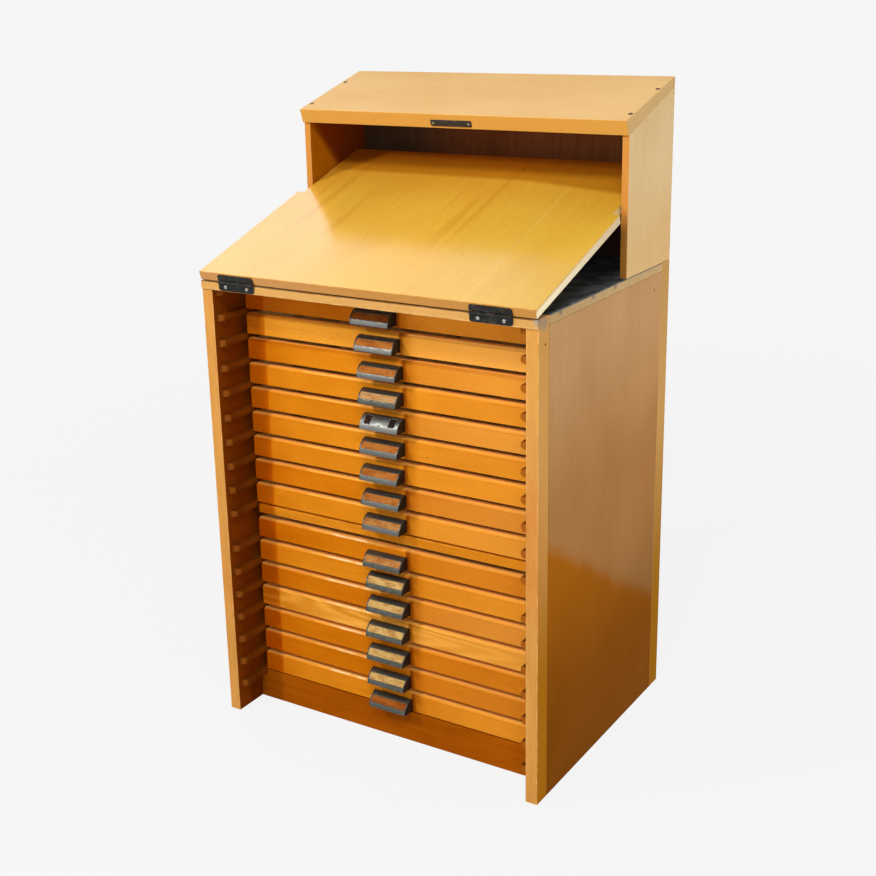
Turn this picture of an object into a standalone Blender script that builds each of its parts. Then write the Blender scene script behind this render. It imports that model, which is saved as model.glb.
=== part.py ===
"""Letterpress type-case cabinet: sixteen shallow type cases between two framed sides, with a
sloping desk lid hinged at its front edge and an open hutch standing on the rear of the top.

Metres, +Z up. The front faces -Y, and the origin is at the middle of the footprint.
"""

import math

import bmesh
import bpy
from mathutils import Matrix

for leftover in list(bpy.data.objects):
    bpy.data.objects.remove(leftover)

# Clearances between pieces
JOINT_GAP = 0.0003  # glued, nailed or resting faces
SLIDE_GAP = 0.0010  # a type case's side to its runner
FLANGE_GAP = 0.0040  # a type case's bottom flange to the side wall
LID_SIDE_GAP = 0.0020  # the lid's narrow part to each hutch side
PIN_GAP = 0.0003  # hinge pin to its knuckle bore
KNUCKLE_GAP = 0.0004  # between neighbouring knuckles

# Carcass
WIDTH = 0.700
DEPTH = 0.540
TOP_HEIGHT = 0.890  # floor to the top board's upper face
SIDE_THICKNESS = 0.0235
FRONT_STILE_DEPTH = 0.038
REAR_STILE_DEPTH = 0.037
TONGUE_THICKNESS = 0.008
TONGUE_LENGTH = 0.007
BACK_THICKNESS = 0.008
BACK_REBATE = 0.010
TOP_THICKNESS = 0.016
FRONT_STRIP_THICKNESS = 0.010
FRONT_STRIP_PROUD = 0.003
PLINTH_HEIGHT = 0.0625
PLINTH_THICKNESS = 0.020
MID_RAIL_HEIGHT = 0.0175
MID_RAIL_THICKNESS = 0.020
REAR_RAIL_HEIGHT = 0.050
REAR_RAIL_THICKNESS = 0.020
EDGE_SOFTENING = 0.0006
BOARD_EDGE = 0.0012  # eased edges that hands touch

# Runners on the side walls
RUNNER_WIDTH = 0.0155
RUNNER_HEIGHT = 0.013
RUNNER_FRONT = 0.008  # behind the sides' front plane
RUNNER_HOUSING = 0.0015  # depth of the housing in the side panel
RUNNER_ROUND = 0.004  # on both edges that face the cases
RUNNER_NOSE = 0.004  # length of the chamfer at the front end

# Type cases and their stack
UPPER_CASES = 9
LOWER_CASES = 7
CASE_SETBACK = 0.074  # fronts behind the sides' front plane
CASE_FRONT_THICKNESS = 0.017
CASE_WALL = 0.010
CASE_WALL_DROP = 0.0035  # the walls end this far below the front's top
CASE_BOTTOM = 0.005
CASE_REAR_GAP = 0.012
CASE_SPACING = 0.0095  # open gap between two fronts
CASE_FLANGE_SETBACK = 0.040  # the flanges start this far behind the front
CASE_EDGE = 0.001
CASE_CHAMFER = 0.004  # along the front's upper edge
GAP_OVER_PLINTH = 0.0030
GAP_UNDER_MID_RAIL = 0.0120
GAP_OVER_MID_RAIL = 0.0042
GAP_UNDER_TOP = 0.0098

# Cup pulls with a card bed
PULL_WIDTH = 0.086  # where the cup meets the wood
PULL_LIP_WIDTH = 0.082
PULL_HEIGHT = 0.0245
PULL_DEPTH = 0.0259
PULL_WALL = 0.0016
PULL_END = 0.0014
PULL_SHIFT = -0.0015  # from the case's middle
PULL_LIFT = 0.0040  # above the case's bottom edge
PULL_PLACES = {  # shift and lift of those fixed off the line
    1: (-0.0125, 0.0040),
    2: (-0.0060, 0.0050),
    5: (0.0005, 0.0050),
    6: (-0.0015, 0.0070),
    7: (-0.0035, 0.0036),
    10: (-0.0030, 0.0020),
    11: (0.0015, 0.0085),
    12: (0.0010, 0.0077),
    15: (-0.0015, 0.0010),
    16: (0.0007, 0.0014),
}
BED_DEPTH = 0.0007
BED_MARGIN = 0.0022
BED_FROM = math.radians(33.5)  # angles from the top of the cup
BED_TO = math.radians(67)
BARE_PULL = 5  # shows the bed's two punched holes
PUNCH_SIZE = 0.0115
PUNCH_SPACING = 0.052

# Desk lid and its hinges
LID_THICKNESS = 0.017
LID_SLOPE = math.radians(18.1)
LID_END_INSET = 0.001
LID_BACK_GAP = 0.024  # rear edge to the hutch's back, level
LID_NOTCH_GAP = 0.027  # wide part to the hutch sides' front edges, level
LID_EDGE = 0.0012
HINGE_WIDTH = 0.081
HINGE_INSET = 0.085  # a hinge's middle from the cabinet's end
LEAF_HEIGHT = 0.0150
LEAF_THICKNESS = 0.0016
LEAF_CORNER = 0.005
KNUCKLES = 5
KNUCKLE_RADIUS = 0.0026
PIN_RADIUS = 0.0012
HINGE_RISE = 0.0005  # axis above the top board
LID_REST_WIDTH = 0.014
LID_REST_HEIGHT = 0.018
LID_REST_LENGTH = 0.130
LID_REST_SETBACK = 0.014  # behind the hutch sides' front edges, level

# Hutch
HUTCH_DEPTH = 0.200
HUTCH_SIDE_THICKNESS = 0.0135
HUTCH_FRONT_HEIGHT = 0.2555  # side's front edge
HUTCH_BACK_THICKNESS = 0.008
HUTCH_BACK_INSET = 0.002
ROOF_OVERHANG = 0.005
ROOF_FRONT_THICKNESS = 0.0285
ROOF_UNDER_SLOPE = math.radians(18.5)
ROOF_TOP_SLOPE = math.radians(15.5)
ROOF_EDGE = 0.0015

# Facets
ROD_SIDES = 16
CORNER_STEPS = 4
CUP_STEPS = 10
BED_STEPS = 4
ROUND_SEGMENTS = 2
SHARP_ANGLE = math.radians(40)
NANOMETRES = 9  # decimals that a curve's points are kept to

# Places that follow from the sizes above
HALF_WIDTH = WIDTH / 2
INNER_HALF = HALF_WIDTH - SIDE_THICKNESS
RUNNER_HALF = INNER_HALF - RUNNER_WIDTH
CASE_HALF = RUNNER_HALF - SLIDE_GAP
FLANGE_HALF = INNER_HALF - FLANGE_GAP
CASE_DEPTH = DEPTH - BACK_THICKNESS - CASE_REAR_GAP - CASE_SETBACK
TOP_UNDERSIDE = TOP_HEIGHT - TOP_THICKNESS
LOWER_START = PLINTH_HEIGHT + GAP_OVER_PLINTH
MID_RAIL_ZONE = GAP_UNDER_MID_RAIL + MID_RAIL_HEIGHT + GAP_OVER_MID_RAIL
STACK_HEIGHT = TOP_UNDERSIDE - GAP_UNDER_TOP - LOWER_START - MID_RAIL_ZONE
CASE_PITCH = (STACK_HEIGHT + 2 * CASE_SPACING) / (UPPER_CASES + LOWER_CASES)
CASE_FRONT_HEIGHT = CASE_PITCH - CASE_SPACING
MID_RAIL_START = LOWER_START + LOWER_CASES * CASE_PITCH - CASE_SPACING + GAP_UNDER_MID_RAIL
UPPER_START = MID_RAIL_START + MID_RAIL_HEIGHT + GAP_OVER_MID_RAIL
HINGE_FORWARD = FRONT_STRIP_PROUD + JOINT_GAP + KNUCKLE_RADIUS
UPPER_LEAF_FACE = KNUCKLE_RADIUS + JOINT_GAP
LEAF_FRONT = UPPER_LEAF_FACE - LEAF_THICKNESS
TILTED_LEAF_REACH = LEAF_HEIGHT * math.sin(LID_SLOPE) - LEAF_FRONT * math.cos(LID_SLOPE)
HINGE_REACH = HINGE_FORWARD + max(KNUCKLE_RADIUS, TILTED_LEAF_REACH)
FRONT_Y = -(DEPTH - HINGE_REACH) / 2
HINGE_Y = FRONT_Y - HINGE_FORWARD
HINGE_Z = TOP_HEIGHT + HINGE_RISE
HINGE_CENTRE = HALF_WIDTH - HINGE_INSET
HUTCH_FRONT = DEPTH - HUTCH_DEPTH
HUTCH_INNER_HALF = HALF_WIDTH - HUTCH_SIDE_THICKNESS

AXES = {"X": (1, 2, 0), "Y": (0, 2, 1), "Z": (0, 1, 2)}


def back_from_front(depth):
    """The Y of a point this far behind the sides' front plane."""
    return FRONT_Y + depth


def roof_underside(depth):
    """Height of the roof's sloping underside, by depth behind the sides' front plane."""
    rise = (depth - HUTCH_FRONT) * math.tan(ROOF_UNDER_SLOPE)
    return TOP_HEIGHT + HUTCH_FRONT_HEIGHT + rise


def prism(outline, axis, low, high):
    """A closed outline in the plane across the axis, drawn out from low to high along it."""
    first, second, along = AXES[axis]
    shape = bmesh.new()
    corners = []
    for point in outline:
        place = [0.0, 0.0, 0.0]
        place[first], place[second], place[along] = point[0], point[1], low
        corners.append(shape.verts.new(place))
    drawn = bmesh.ops.extrude_face_region(shape, geom=[shape.faces.new(corners)])
    offset = [0.0, 0.0, 0.0]
    offset[along] = high - low
    moved = [item for item in drawn["geom"] if isinstance(item, bmesh.types.BMVert)]
    bmesh.ops.translate(shape, verts=moved, vec=offset)
    bmesh.ops.recalc_face_normals(shape, faces=shape.faces)
    return shape


def box(x_range, y_range, z_range):
    (left, right), (front, back) = x_range, y_range
    outline = [(left, front), (right, front), (right, back), (left, back)]
    return prism(outline, "Z", *z_range)


def rod(radius, x_low, x_high):
    """A round bar along X, on the X axis."""
    turns = [2 * math.pi * step / ROD_SIDES for step in range(ROD_SIDES)]
    outline = [(radius * math.cos(turn), radius * math.sin(turn)) for turn in turns]
    return prism(outline, "X", x_low, x_high)


def soften(shape, width=EDGE_SOFTENING, segments=1):
    """Eases every outer edge, as sanding does, and leaves inner corners sharp."""
    edges = [edge for edge in shape.edges if edge.is_convex and edge.calc_face_angle() > SHARP_ANGLE]
    bmesh.ops.bevel(
        shape, geom=edges, offset=width, segments=segments, profile=0.5, affect="EDGES", material=-1
    )
    return shape


def joined(shapes):
    """Several shapes as one mesh of separate closed bodies."""
    whole = bmesh.new()
    for shape in shapes:
        part = bpy.data.meshes.new("part")
        shape.to_mesh(part)
        shape.free()
        whole.from_mesh(part)
        bpy.data.meshes.remove(part)
    return whole


def as_object(name, shape, parent=None):
    mesh = bpy.data.meshes.new(name)
    shape.to_mesh(mesh)
    shape.free()
    piece = bpy.data.objects.new(name, mesh)
    piece.parent = parent
    bpy.context.collection.objects.link(piece)
    return piece


def carve(piece, shape, operation="DIFFERENCE"):
    """Cuts a shape from a piece, or adds it, through a hidden helper on the piece's own parent."""
    helper = as_object(f"{piece.name}_{operation.lower()}_{len(piece.modifiers)}", shape, piece.parent)
    helper.location = piece.location
    helper.hide_render = True
    helper.display_type = "WIRE"
    step = piece.modifiers.new(operation.title(), "BOOLEAN")
    step.operation = operation
    step.object = helper
    step.solver = "EXACT"
    return piece


def finished(piece, finish):
    """Gives a piece its own material, held by the object because copies share a mesh."""
    colour, roughness, metallic = finish
    material = bpy.data.materials.new(piece.name)
    material.use_nodes = True
    shader = material.node_tree.nodes["Principled BSDF"]
    shader.inputs["Base Color"].default_value = (*colour, 1.0)
    shader.inputs["Roughness"].default_value = roughness
    shader.inputs["Metallic"].default_value = metallic
    if not piece.data.materials:
        piece.data.materials.append(material)
    piece.material_slots[0].link = "OBJECT"
    piece.material_slots[0].material = material
    return piece


def baked(pattern):
    """The pattern's mesh with its cuts made, for copies to share. The pattern and its helpers go."""
    graph = bpy.context.evaluated_depsgraph_get()
    mesh = bpy.data.meshes.new_from_object(pattern.evaluated_get(graph))
    helpers = [step.object for step in pattern.modifiers]
    for used in [pattern, *helpers]:
        bpy.data.objects.remove(used)
    mesh.shade_smooth()
    mesh.set_sharp_from_angle(angle=SHARP_ANGLE)
    return mesh


def copy_of(mesh, name, location, parent=None):
    piece = bpy.data.objects.new(name, mesh)
    piece.location = location
    piece.parent = parent
    bpy.context.collection.objects.link(piece)
    return piece


# Finishes: colour, roughness, metallic
BEECH_EDGE = ((0.62, 0.33, 0.10), 0.42, 0.0)
BEECH_SIDE = ((0.42, 0.24, 0.09), 0.40, 0.0)
BEECH_FRONT = ((0.58, 0.24, 0.03), 0.42, 0.0)
BEECH_DESK = ((0.80, 0.52, 0.20), 0.35, 0.0)
BEECH_ROOF = ((0.74, 0.48, 0.20), 0.38, 0.0)
BEECH_DARK = ((0.28, 0.10, 0.02), 0.55, 0.0)
BACK_BROWN = ((0.09, 0.04, 0.02), 0.60, 0.0)
TOP_BLACK = ((0.03, 0.03, 0.035), 0.50, 0.0)
PULL_STEEL = ((0.32, 0.32, 0.31), 0.38, 0.9)
PIN_STEEL = ((0.32, 0.32, 0.31), 0.35, 1.0)
HINGE_BLACK = ((0.015, 0.016, 0.017), 0.45, 0.6)


def case_levels():
    """Bottom height of every type case, from the top one down."""
    upper = [UPPER_START + row * CASE_PITCH for row in range(UPPER_CASES)]
    lower = [LOWER_START + row * CASE_PITCH for row in range(LOWER_CASES)]
    return list(reversed(upper)) + list(reversed(lower))


def on_side(outline, sign):
    """Points given as inset from the cabinet's end and depth behind its front, on one side."""
    return [(sign * (HALF_WIDTH - inset), back_from_front(depth)) for inset, depth in outline]


def side_walls():
    """Each side: two stiles, grooved for the tongues of an upright panel that carries the runners."""
    groove_low = (SIDE_THICKNESS - TONGUE_THICKNESS) / 2 - JOINT_GAP
    groove_high = (SIDE_THICKNESS + TONGUE_THICKNESS) / 2 + JOINT_GAP
    groove = TONGUE_LENGTH + JOINT_GAP
    rear = DEPTH - REAR_STILE_DEPTH
    rebate = DEPTH - BACK_THICKNESS - JOINT_GAP
    front_stile = [
        (0, 0),
        (SIDE_THICKNESS, 0),
        (SIDE_THICKNESS, FRONT_STILE_DEPTH),
        (groove_high, FRONT_STILE_DEPTH),
        (groove_high, FRONT_STILE_DEPTH - groove),
        (groove_low, FRONT_STILE_DEPTH - groove),
        (groove_low, FRONT_STILE_DEPTH),
        (0, FRONT_STILE_DEPTH),
    ]
    rear_stile = [
        (0, rear),
        (groove_low, rear),
        (groove_low, rear + groove),
        (groove_high, rear + groove),
        (groove_high, rear),
        (SIDE_THICKNESS, rear),
        (SIDE_THICKNESS, rebate),
        (SIDE_THICKNESS - BACK_REBATE, rebate),
        (SIDE_THICKNESS - BACK_REBATE, DEPTH),
        (0, DEPTH),
    ]
    tongue_low = groove_low + JOINT_GAP
    tongue_high = groove_high - JOINT_GAP
    panel_front = FRONT_STILE_DEPTH + JOINT_GAP
    panel_rear = rear - JOINT_GAP
    panel = [
        (0, panel_front),
        (tongue_low, panel_front),
        (tongue_low, panel_front - TONGUE_LENGTH),
        (tongue_high, panel_front - TONGUE_LENGTH),
        (tongue_high, panel_front),
        (SIDE_THICKNESS, panel_front),
        (SIDE_THICKNESS, panel_rear),
        (tongue_high, panel_rear),
        (tongue_high, panel_rear + TONGUE_LENGTH),
        (tongue_low, panel_rear + TONGUE_LENGTH),
        (tongue_low, panel_rear),
        (0, panel_rear),
    ]
    strip_seat = FRONT_STRIP_THICKNESS - FRONT_STRIP_PROUD + JOINT_GAP
    panel_top = TOP_UNDERSIDE - JOINT_GAP
    for side, sign in (("left", -1), ("right", 1)):
        front_shape = prism(on_side(front_stile, sign), "Z", 0, TOP_HEIGHT)
        stile = as_object(f"{side}_front_stile", soften(front_shape))
        inner_end = sign * (INNER_HALF - SIDE_THICKNESS)
        outer_end = sign * (HALF_WIDTH + SIDE_THICKNESS)
        seat_x = sorted((inner_end, outer_end))
        seat_y = (back_from_front(-strip_seat), back_from_front(strip_seat))
        carve(stile, box(seat_x, seat_y, (panel_top, TOP_HEIGHT + TOP_THICKNESS)))
        finished(stile, BEECH_EDGE)
        rear_shape = prism(on_side(rear_stile, sign), "Z", 0, TOP_HEIGHT)
        finished(as_object(f"{side}_rear_stile", soften(rear_shape)), BEECH_EDGE)
        panel_shape = prism(on_side(panel, sign), "Z", 0, panel_top)
        board = as_object(f"{side}_side_panel", soften(panel_shape))
        carve(board, runners(sign, panel_front, panel_rear), "UNION")
        finished(board, BEECH_SIDE)


def runners(sign, panel_front, panel_rear):
    """One strip under each case and one under the top, let into the panel and running on over
    the stiles' inner faces."""
    rear_end = DEPTH - BACK_THICKNESS - 2 * JOINT_GAP
    outline = [
        (INNER_HALF - JOINT_GAP, RUNNER_FRONT),
        (RUNNER_HALF + RUNNER_NOSE, RUNNER_FRONT),
        (RUNNER_HALF, RUNNER_FRONT + RUNNER_NOSE),
        (RUNNER_HALF, rear_end),
        (INNER_HALF - JOINT_GAP, rear_end),
        (INNER_HALF - JOINT_GAP, panel_rear - RUNNER_HOUSING),
        (INNER_HALF + RUNNER_HOUSING, panel_rear - RUNNER_HOUSING),
        (INNER_HALF + RUNNER_HOUSING, panel_front + RUNNER_HOUSING),
        (INNER_HALF - JOINT_GAP, panel_front + RUNNER_HOUSING),
    ]
    placed = [(sign * reach, back_from_front(depth)) for reach, depth in outline]
    strips = []
    for top in [TOP_UNDERSIDE, *case_levels()]:
        strip = prism(placed, "Z", top - JOINT_GAP - RUNNER_HEIGHT, top - JOINT_GAP)
        bmesh.ops.bevel(
            strip,
            geom=[edge for edge in strip.edges if faces_cases(edge)],
            offset=RUNNER_ROUND,
            segments=ROUND_SEGMENTS,
            profile=0.5,
            affect="EDGES",
            material=-1,
        )
        strips.append(strip)
    return joined(strips)


def faces_cases(edge):
    """True on a runner's two long edges beside the cases, and on the nose's edges before them."""
    near = RUNNER_HALF + RUNNER_NOSE + JOINT_GAP
    start, end = (corner.co for corner in edge.verts)
    return max(abs(start.x), abs(end.x)) < near and abs(start.y - end.y) > JOINT_GAP


def cross_rail(name, bottom, height, front, thickness, runner_top, finish):
    """A rail between the side walls, its top corners notched round the runners that pass it."""
    end = INNER_HALF - JOINT_GAP
    notch_x = RUNNER_HALF - JOINT_GAP
    notch_z = runner_top - JOINT_GAP - RUNNER_HEIGHT - JOINT_GAP
    half = [(end, bottom), (end, notch_z), (notch_x, notch_z), (notch_x, bottom + height)]
    outline = half + [(-x, z) for x, z in reversed(half)]
    span = (back_from_front(front), back_from_front(front + thickness))
    rail = as_object(name, soften(prism(outline, "Y", *span)))
    return finished(rail, finish)


def carcass():
    side_walls()
    levels = case_levels()
    cross_rail("plinth", 0, PLINTH_HEIGHT, CASE_SETBACK, PLINTH_THICKNESS, levels[-1], BEECH_DARK)
    cross_rail(
        "mid_rail",
        MID_RAIL_START,
        MID_RAIL_HEIGHT,
        CASE_SETBACK,
        MID_RAIL_THICKNESS,
        levels[UPPER_CASES - 1],
        BEECH_FRONT,
    )
    back_face = DEPTH - BACK_THICKNESS
    inner = INNER_HALF - JOINT_GAP
    rail_y = [back_from_front(back_face - JOINT_GAP - far) for far in (REAR_RAIL_THICKNESS, 0)]
    rear_rail = as_object("rear_bottom_rail", soften(box((-inner, inner), rail_y, (0, REAR_RAIL_HEIGHT))))
    finished(rear_rail, BEECH_DARK)
    back_half = INNER_HALF + BACK_REBATE - JOINT_GAP
    back = as_object(
        "back_panel",
        soften(
            box(
                (-back_half, back_half),
                (back_from_front(back_face), back_from_front(DEPTH)),
                (0, TOP_UNDERSIDE - JOINT_GAP),
            )
        ),
    )
    finished(back, BACK_BROWN)

    strip_back = back_from_front(FRONT_STRIP_THICKNESS - FRONT_STRIP_PROUD)
    strip_shape = box(
        (-HALF_WIDTH, HALF_WIDTH),
        (back_from_front(-FRONT_STRIP_PROUD), strip_back),
        (TOP_UNDERSIDE, TOP_HEIGHT),
    )
    strip = as_object("top_front_strip", soften(strip_shape, BOARD_EDGE, ROUND_SEGMENTS))
    finished(strip, BEECH_EDGE)

    board_front = FRONT_STRIP_THICKNESS - FRONT_STRIP_PROUD + JOINT_GAP
    waist = INNER_HALF - JOINT_GAP
    front_notch = FRONT_STILE_DEPTH + JOINT_GAP
    rear_notch = DEPTH - REAR_STILE_DEPTH - JOINT_GAP
    half = [
        (waist, board_front),
        (waist, front_notch),
        (HALF_WIDTH, front_notch),
        (HALF_WIDTH, rear_notch),
        (waist, rear_notch),
        (waist, DEPTH),
    ]
    whole = half + [(-x, depth) for x, depth in reversed(half)]
    outline = [(x, back_from_front(depth)) for x, depth in whole]
    board = as_object("top_board", soften(prism(outline, "Z", TOP_UNDERSIDE, TOP_HEIGHT)))
    finished(board, TOP_BLACK)


def hutch():
    foot = TOP_HEIGHT + JOINT_GAP
    side_outline = [
        (back_from_front(HUTCH_FRONT), foot),
        (back_from_front(DEPTH), foot),
        (back_from_front(DEPTH), roof_underside(DEPTH) - JOINT_GAP),
        (back_from_front(HUTCH_FRONT), roof_underside(HUTCH_FRONT) - JOINT_GAP),
    ]
    for side, sign in (("left", -1), ("right", 1)):
        span = sorted((sign * HALF_WIDTH, sign * HUTCH_INNER_HALF))
        wall_shape = soften(prism(side_outline, "X", *span), BOARD_EDGE, ROUND_SEGMENTS)
        finished(as_object(f"hutch_{side}_side", wall_shape), BEECH_SIDE)

    back_rear = DEPTH - HUTCH_BACK_INSET
    back_front = back_rear - HUTCH_BACK_THICKNESS
    back_outline = [
        (back_from_front(back_front), foot),
        (back_from_front(back_rear), foot),
        (back_from_front(back_rear), roof_underside(back_rear) - JOINT_GAP),
        (back_from_front(back_front), roof_underside(back_front) - JOINT_GAP),
    ]
    back_half = HUTCH_INNER_HALF - JOINT_GAP
    back = as_object("hutch_back", soften(prism(back_outline, "X", -back_half, back_half)))
    finished(back, BACK_BROWN)

    lip = HUTCH_FRONT - ROOF_OVERHANG
    front_top = lip - ROOF_FRONT_THICKNESS * math.sin(ROOF_UNDER_SLOPE)
    front_top_z = roof_underside(lip) + ROOF_FRONT_THICKNESS * math.cos(ROOF_UNDER_SLOPE)
    rear_top_z = front_top_z + (DEPTH - front_top) * math.tan(ROOF_TOP_SLOPE)
    roof_outline = [
        (back_from_front(lip), roof_underside(lip)),
        (back_from_front(DEPTH), roof_underside(DEPTH)),
        (back_from_front(DEPTH), rear_top_z),
        (back_from_front(front_top), front_top_z),
    ]
    roof_shape = prism(roof_outline, "X", -HALF_WIDTH, HALF_WIDTH)
    roof = as_object("hutch_roof", soften(roof_shape, ROOF_EDGE, ROUND_SEGMENTS))
    finished(roof, BEECH_ROOF)


def desk_lid():
    """The lid lies in the hinge axis's tilted frame, where Y runs up its slope."""
    axis = bpy.data.objects.new("lid_hinge_axis", None)
    axis.location = (0, HINGE_Y, HINGE_Z)
    axis.rotation_euler = (LID_SLOPE, 0, 0)
    bpy.context.collection.objects.link(axis)

    front = UPPER_LEAF_FACE + JOINT_GAP
    underside = JOINT_GAP
    back_face = DEPTH - HUTCH_BACK_INSET - HUTCH_BACK_THICKNESS
    slope_length = 1 / math.cos(LID_SLOPE)
    rear = (back_face - LID_BACK_GAP + HINGE_FORWARD) * slope_length
    notch = (HUTCH_FRONT - LID_NOTCH_GAP + HINGE_FORWARD) * slope_length
    wide = HALF_WIDTH - LID_END_INSET
    narrow = HUTCH_INNER_HALF - LID_SIDE_GAP
    half = [(wide, front), (wide, notch), (narrow, notch), (narrow, rear)]
    outline = half + [(-x, y) for x, y in reversed(half)]
    lid_shape = prism(outline, "Z", underside, underside + LID_THICKNESS)
    lid = as_object("desk_lid", soften(lid_shape, LID_EDGE, ROUND_SEGMENTS), axis)
    finished(lid, BEECH_DESK)

    # The rests are nailed to the hutch sides, their top faces under the lid.
    start = (HUTCH_FRONT + HINGE_FORWARD + LID_REST_SETBACK) * slope_length
    top = underside - JOINT_GAP
    profile = [
        (start, top - LID_REST_HEIGHT),
        (start + LID_REST_LENGTH, top - LID_REST_HEIGHT),
        (start + LID_REST_LENGTH, top),
        (start, top),
    ]
    wall = HUTCH_INNER_HALF - JOINT_GAP
    for side, sign in (("left", -1), ("right", 1)):
        span = sorted((sign * wall, sign * (wall - LID_REST_WIDTH)))
        rest = as_object(f"lid_rest_{side}", soften(prism(profile, "X", *span)))
        rest.matrix_world = Matrix.Translation(axis.location) @ Matrix.Rotation(LID_SLOPE, 4, "X")
        finished(rest, BEECH_DARK)
    return axis


def leaf_mesh(direction, own_knuckles):
    """A plate with two rounded far corners and its share of the knuckles, centred on the hinge
    axis. It lies towards +Z or -Z by its direction."""
    half = HINGE_WIDTH / 2
    near = KNUCKLE_RADIUS + KNUCKLE_GAP
    corner_x = half - LEAF_CORNER
    corner_z = LEAF_HEIGHT - LEAF_CORNER
    outline = [(half, near)]
    for step in range(CORNER_STEPS + 1):
        turn = math.pi / 2 * step / CORNER_STEPS
        outline.append((corner_x + LEAF_CORNER * math.cos(turn), corner_z + LEAF_CORNER * math.sin(turn)))
    outline += [(-x, z) for x, z in reversed(outline)]
    placed = [(x, direction * z) for x, z in outline]
    wood = KNUCKLE_RADIUS if direction < 0 else UPPER_LEAF_FACE
    plate = (wood - LEAF_THICKNESS, wood)
    leaf = as_object("leaf_pattern", prism(placed, "Y", *plate))

    pitch = HINGE_WIDTH / KNUCKLES
    starts = [number * pitch - half for number in own_knuckles]
    spans = [(low + KNUCKLE_GAP / 2, low + pitch - KNUCKLE_GAP / 2) for low in starts]
    tab_z = sorted((0, direction * (near + LEAF_THICKNESS)))
    carve(leaf, joined([box(span, plate, tab_z) for span in spans]), "UNION")
    carve(leaf, joined([rod(KNUCKLE_RADIUS, *span) for span in spans]), "UNION")
    carve(leaf, rod(PIN_RADIUS + PIN_GAP, -HINGE_WIDTH, HINGE_WIDTH))
    return baked(leaf)


def hinges(lid_axis):
    """Two butt hinges whose knuckles interleave on loose pins: one leaf on the lid's front edge,
    the other on the strip below it."""
    fixed_axis = bpy.data.objects.new("fixed_hinge_axis", None)
    fixed_axis.location = (0, HINGE_Y, HINGE_Z)
    bpy.context.collection.objects.link(fixed_axis)
    lower = leaf_mesh(-1, range(0, KNUCKLES, 2))
    upper = leaf_mesh(1, range(1, KNUCKLES, 2))
    pin = baked(as_object("pin_pattern", rod(PIN_RADIUS, -HINGE_WIDTH / 2, HINGE_WIDTH / 2)))
    for side, sign in (("left", -1), ("right", 1)):
        place = (sign * HINGE_CENTRE, 0, 0)
        lower_leaf = copy_of(lower, f"{side}_hinge_lower_leaf", place, fixed_axis)
        finished(lower_leaf, HINGE_BLACK)
        upper_leaf = copy_of(upper, f"{side}_hinge_upper_leaf", place, lid_axis)
        finished(upper_leaf, HINGE_BLACK)
        finished(copy_of(pin, f"{side}_hinge_pin", place, fixed_axis), PIN_STEEL)


def type_case_mesh():
    """An open tray behind a thicker front with a chamfered upper edge, its bottom reaching out on
    both sides as the flanges that ride on the runners."""
    profile = [
        (0, 0),
        (CASE_FRONT_THICKNESS, 0),
        (CASE_FRONT_THICKNESS, CASE_FRONT_HEIGHT),
        (CASE_CHAMFER, CASE_FRONT_HEIGHT),
        (0, CASE_FRONT_HEIGHT - CASE_CHAMFER),
    ]
    front = prism(profile, "X", -CASE_HALF, CASE_HALF)
    case = as_object("case_pattern", soften(front, CASE_EDGE, ROUND_SEGMENTS))
    wall_top = CASE_FRONT_HEIGHT - CASE_WALL_DROP
    walls = box((-CASE_HALF, CASE_HALF), (CASE_FRONT_THICKNESS / 2, CASE_DEPTH), (0, wall_top))
    carve(case, walls, "UNION")
    bottom = box((-FLANGE_HALF, FLANGE_HALF), (CASE_FLANGE_SETBACK, CASE_DEPTH), (0, CASE_BOTTOM))
    carve(case, bottom, "UNION")
    inside = CASE_HALF - CASE_WALL
    hollow_y = (CASE_FRONT_THICKNESS, CASE_DEPTH - CASE_WALL)
    carve(case, box((-inside, inside), hollow_y, (CASE_BOTTOM, 2 * CASE_FRONT_HEIGHT)))
    return baked(case)


def cup_arc(inset, low, high, steps):
    """Points of the cup's quarter-round, this far inside its outer face. Angles from the top."""
    points = []
    for step in range(steps + 1):
        turn = low + (high - low) * step / steps
        reach = (PULL_DEPTH - inset) * math.sin(turn)
        rise = (PULL_HEIGHT - inset) * math.cos(turn)
        points.append((-round(reach, NANOMETRES), round(rise, NANOMETRES)))
    return points


def pull_mesh(punched):
    """A quarter-round cup, open behind and below, with a shallow bed for a card between its lips.
    Its ends draw in towards the lower lip."""
    quarter = math.pi / 2
    half = PULL_WIDTH / 2
    outline = [(0, 0), *cup_arc(0, 0, quarter, CUP_STEPS)]
    cup = as_object("pull_pattern", prism(outline, "X", -half, half))
    past_back = PULL_WALL
    past_bottom = -PULL_WALL
    hollow = cup_arc(PULL_WALL, 0, quarter, CUP_STEPS)
    cavity = [
        (past_back, hollow[0][1]),
        *hollow,
        (hollow[-1][0], past_bottom),
        (past_back, past_bottom),
    ]
    inside = half - PULL_END
    carve(cup, prism(cavity, "X", -inside, inside))
    bed_floor = cup_arc(BED_DEPTH, BED_FROM, BED_TO, BED_STEPS)
    bed_mouth = cup_arc(-PULL_WALL, BED_TO, BED_FROM, BED_STEPS)
    bed_half = half - BED_MARGIN
    carve(cup, prism(bed_floor + bed_mouth, "X", -bed_half, bed_half))
    if punched:
        carve(cup, joined([punch(sign * PUNCH_SPACING / 2) for sign in (-1, 1)]))
    mesh = baked(cup)
    draw = (1 - PULL_LIP_WIDTH / PULL_WIDTH) / PULL_DEPTH
    for corner in mesh.vertices:
        corner.co.x *= 1 + draw * corner.co.y
    return mesh


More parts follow.
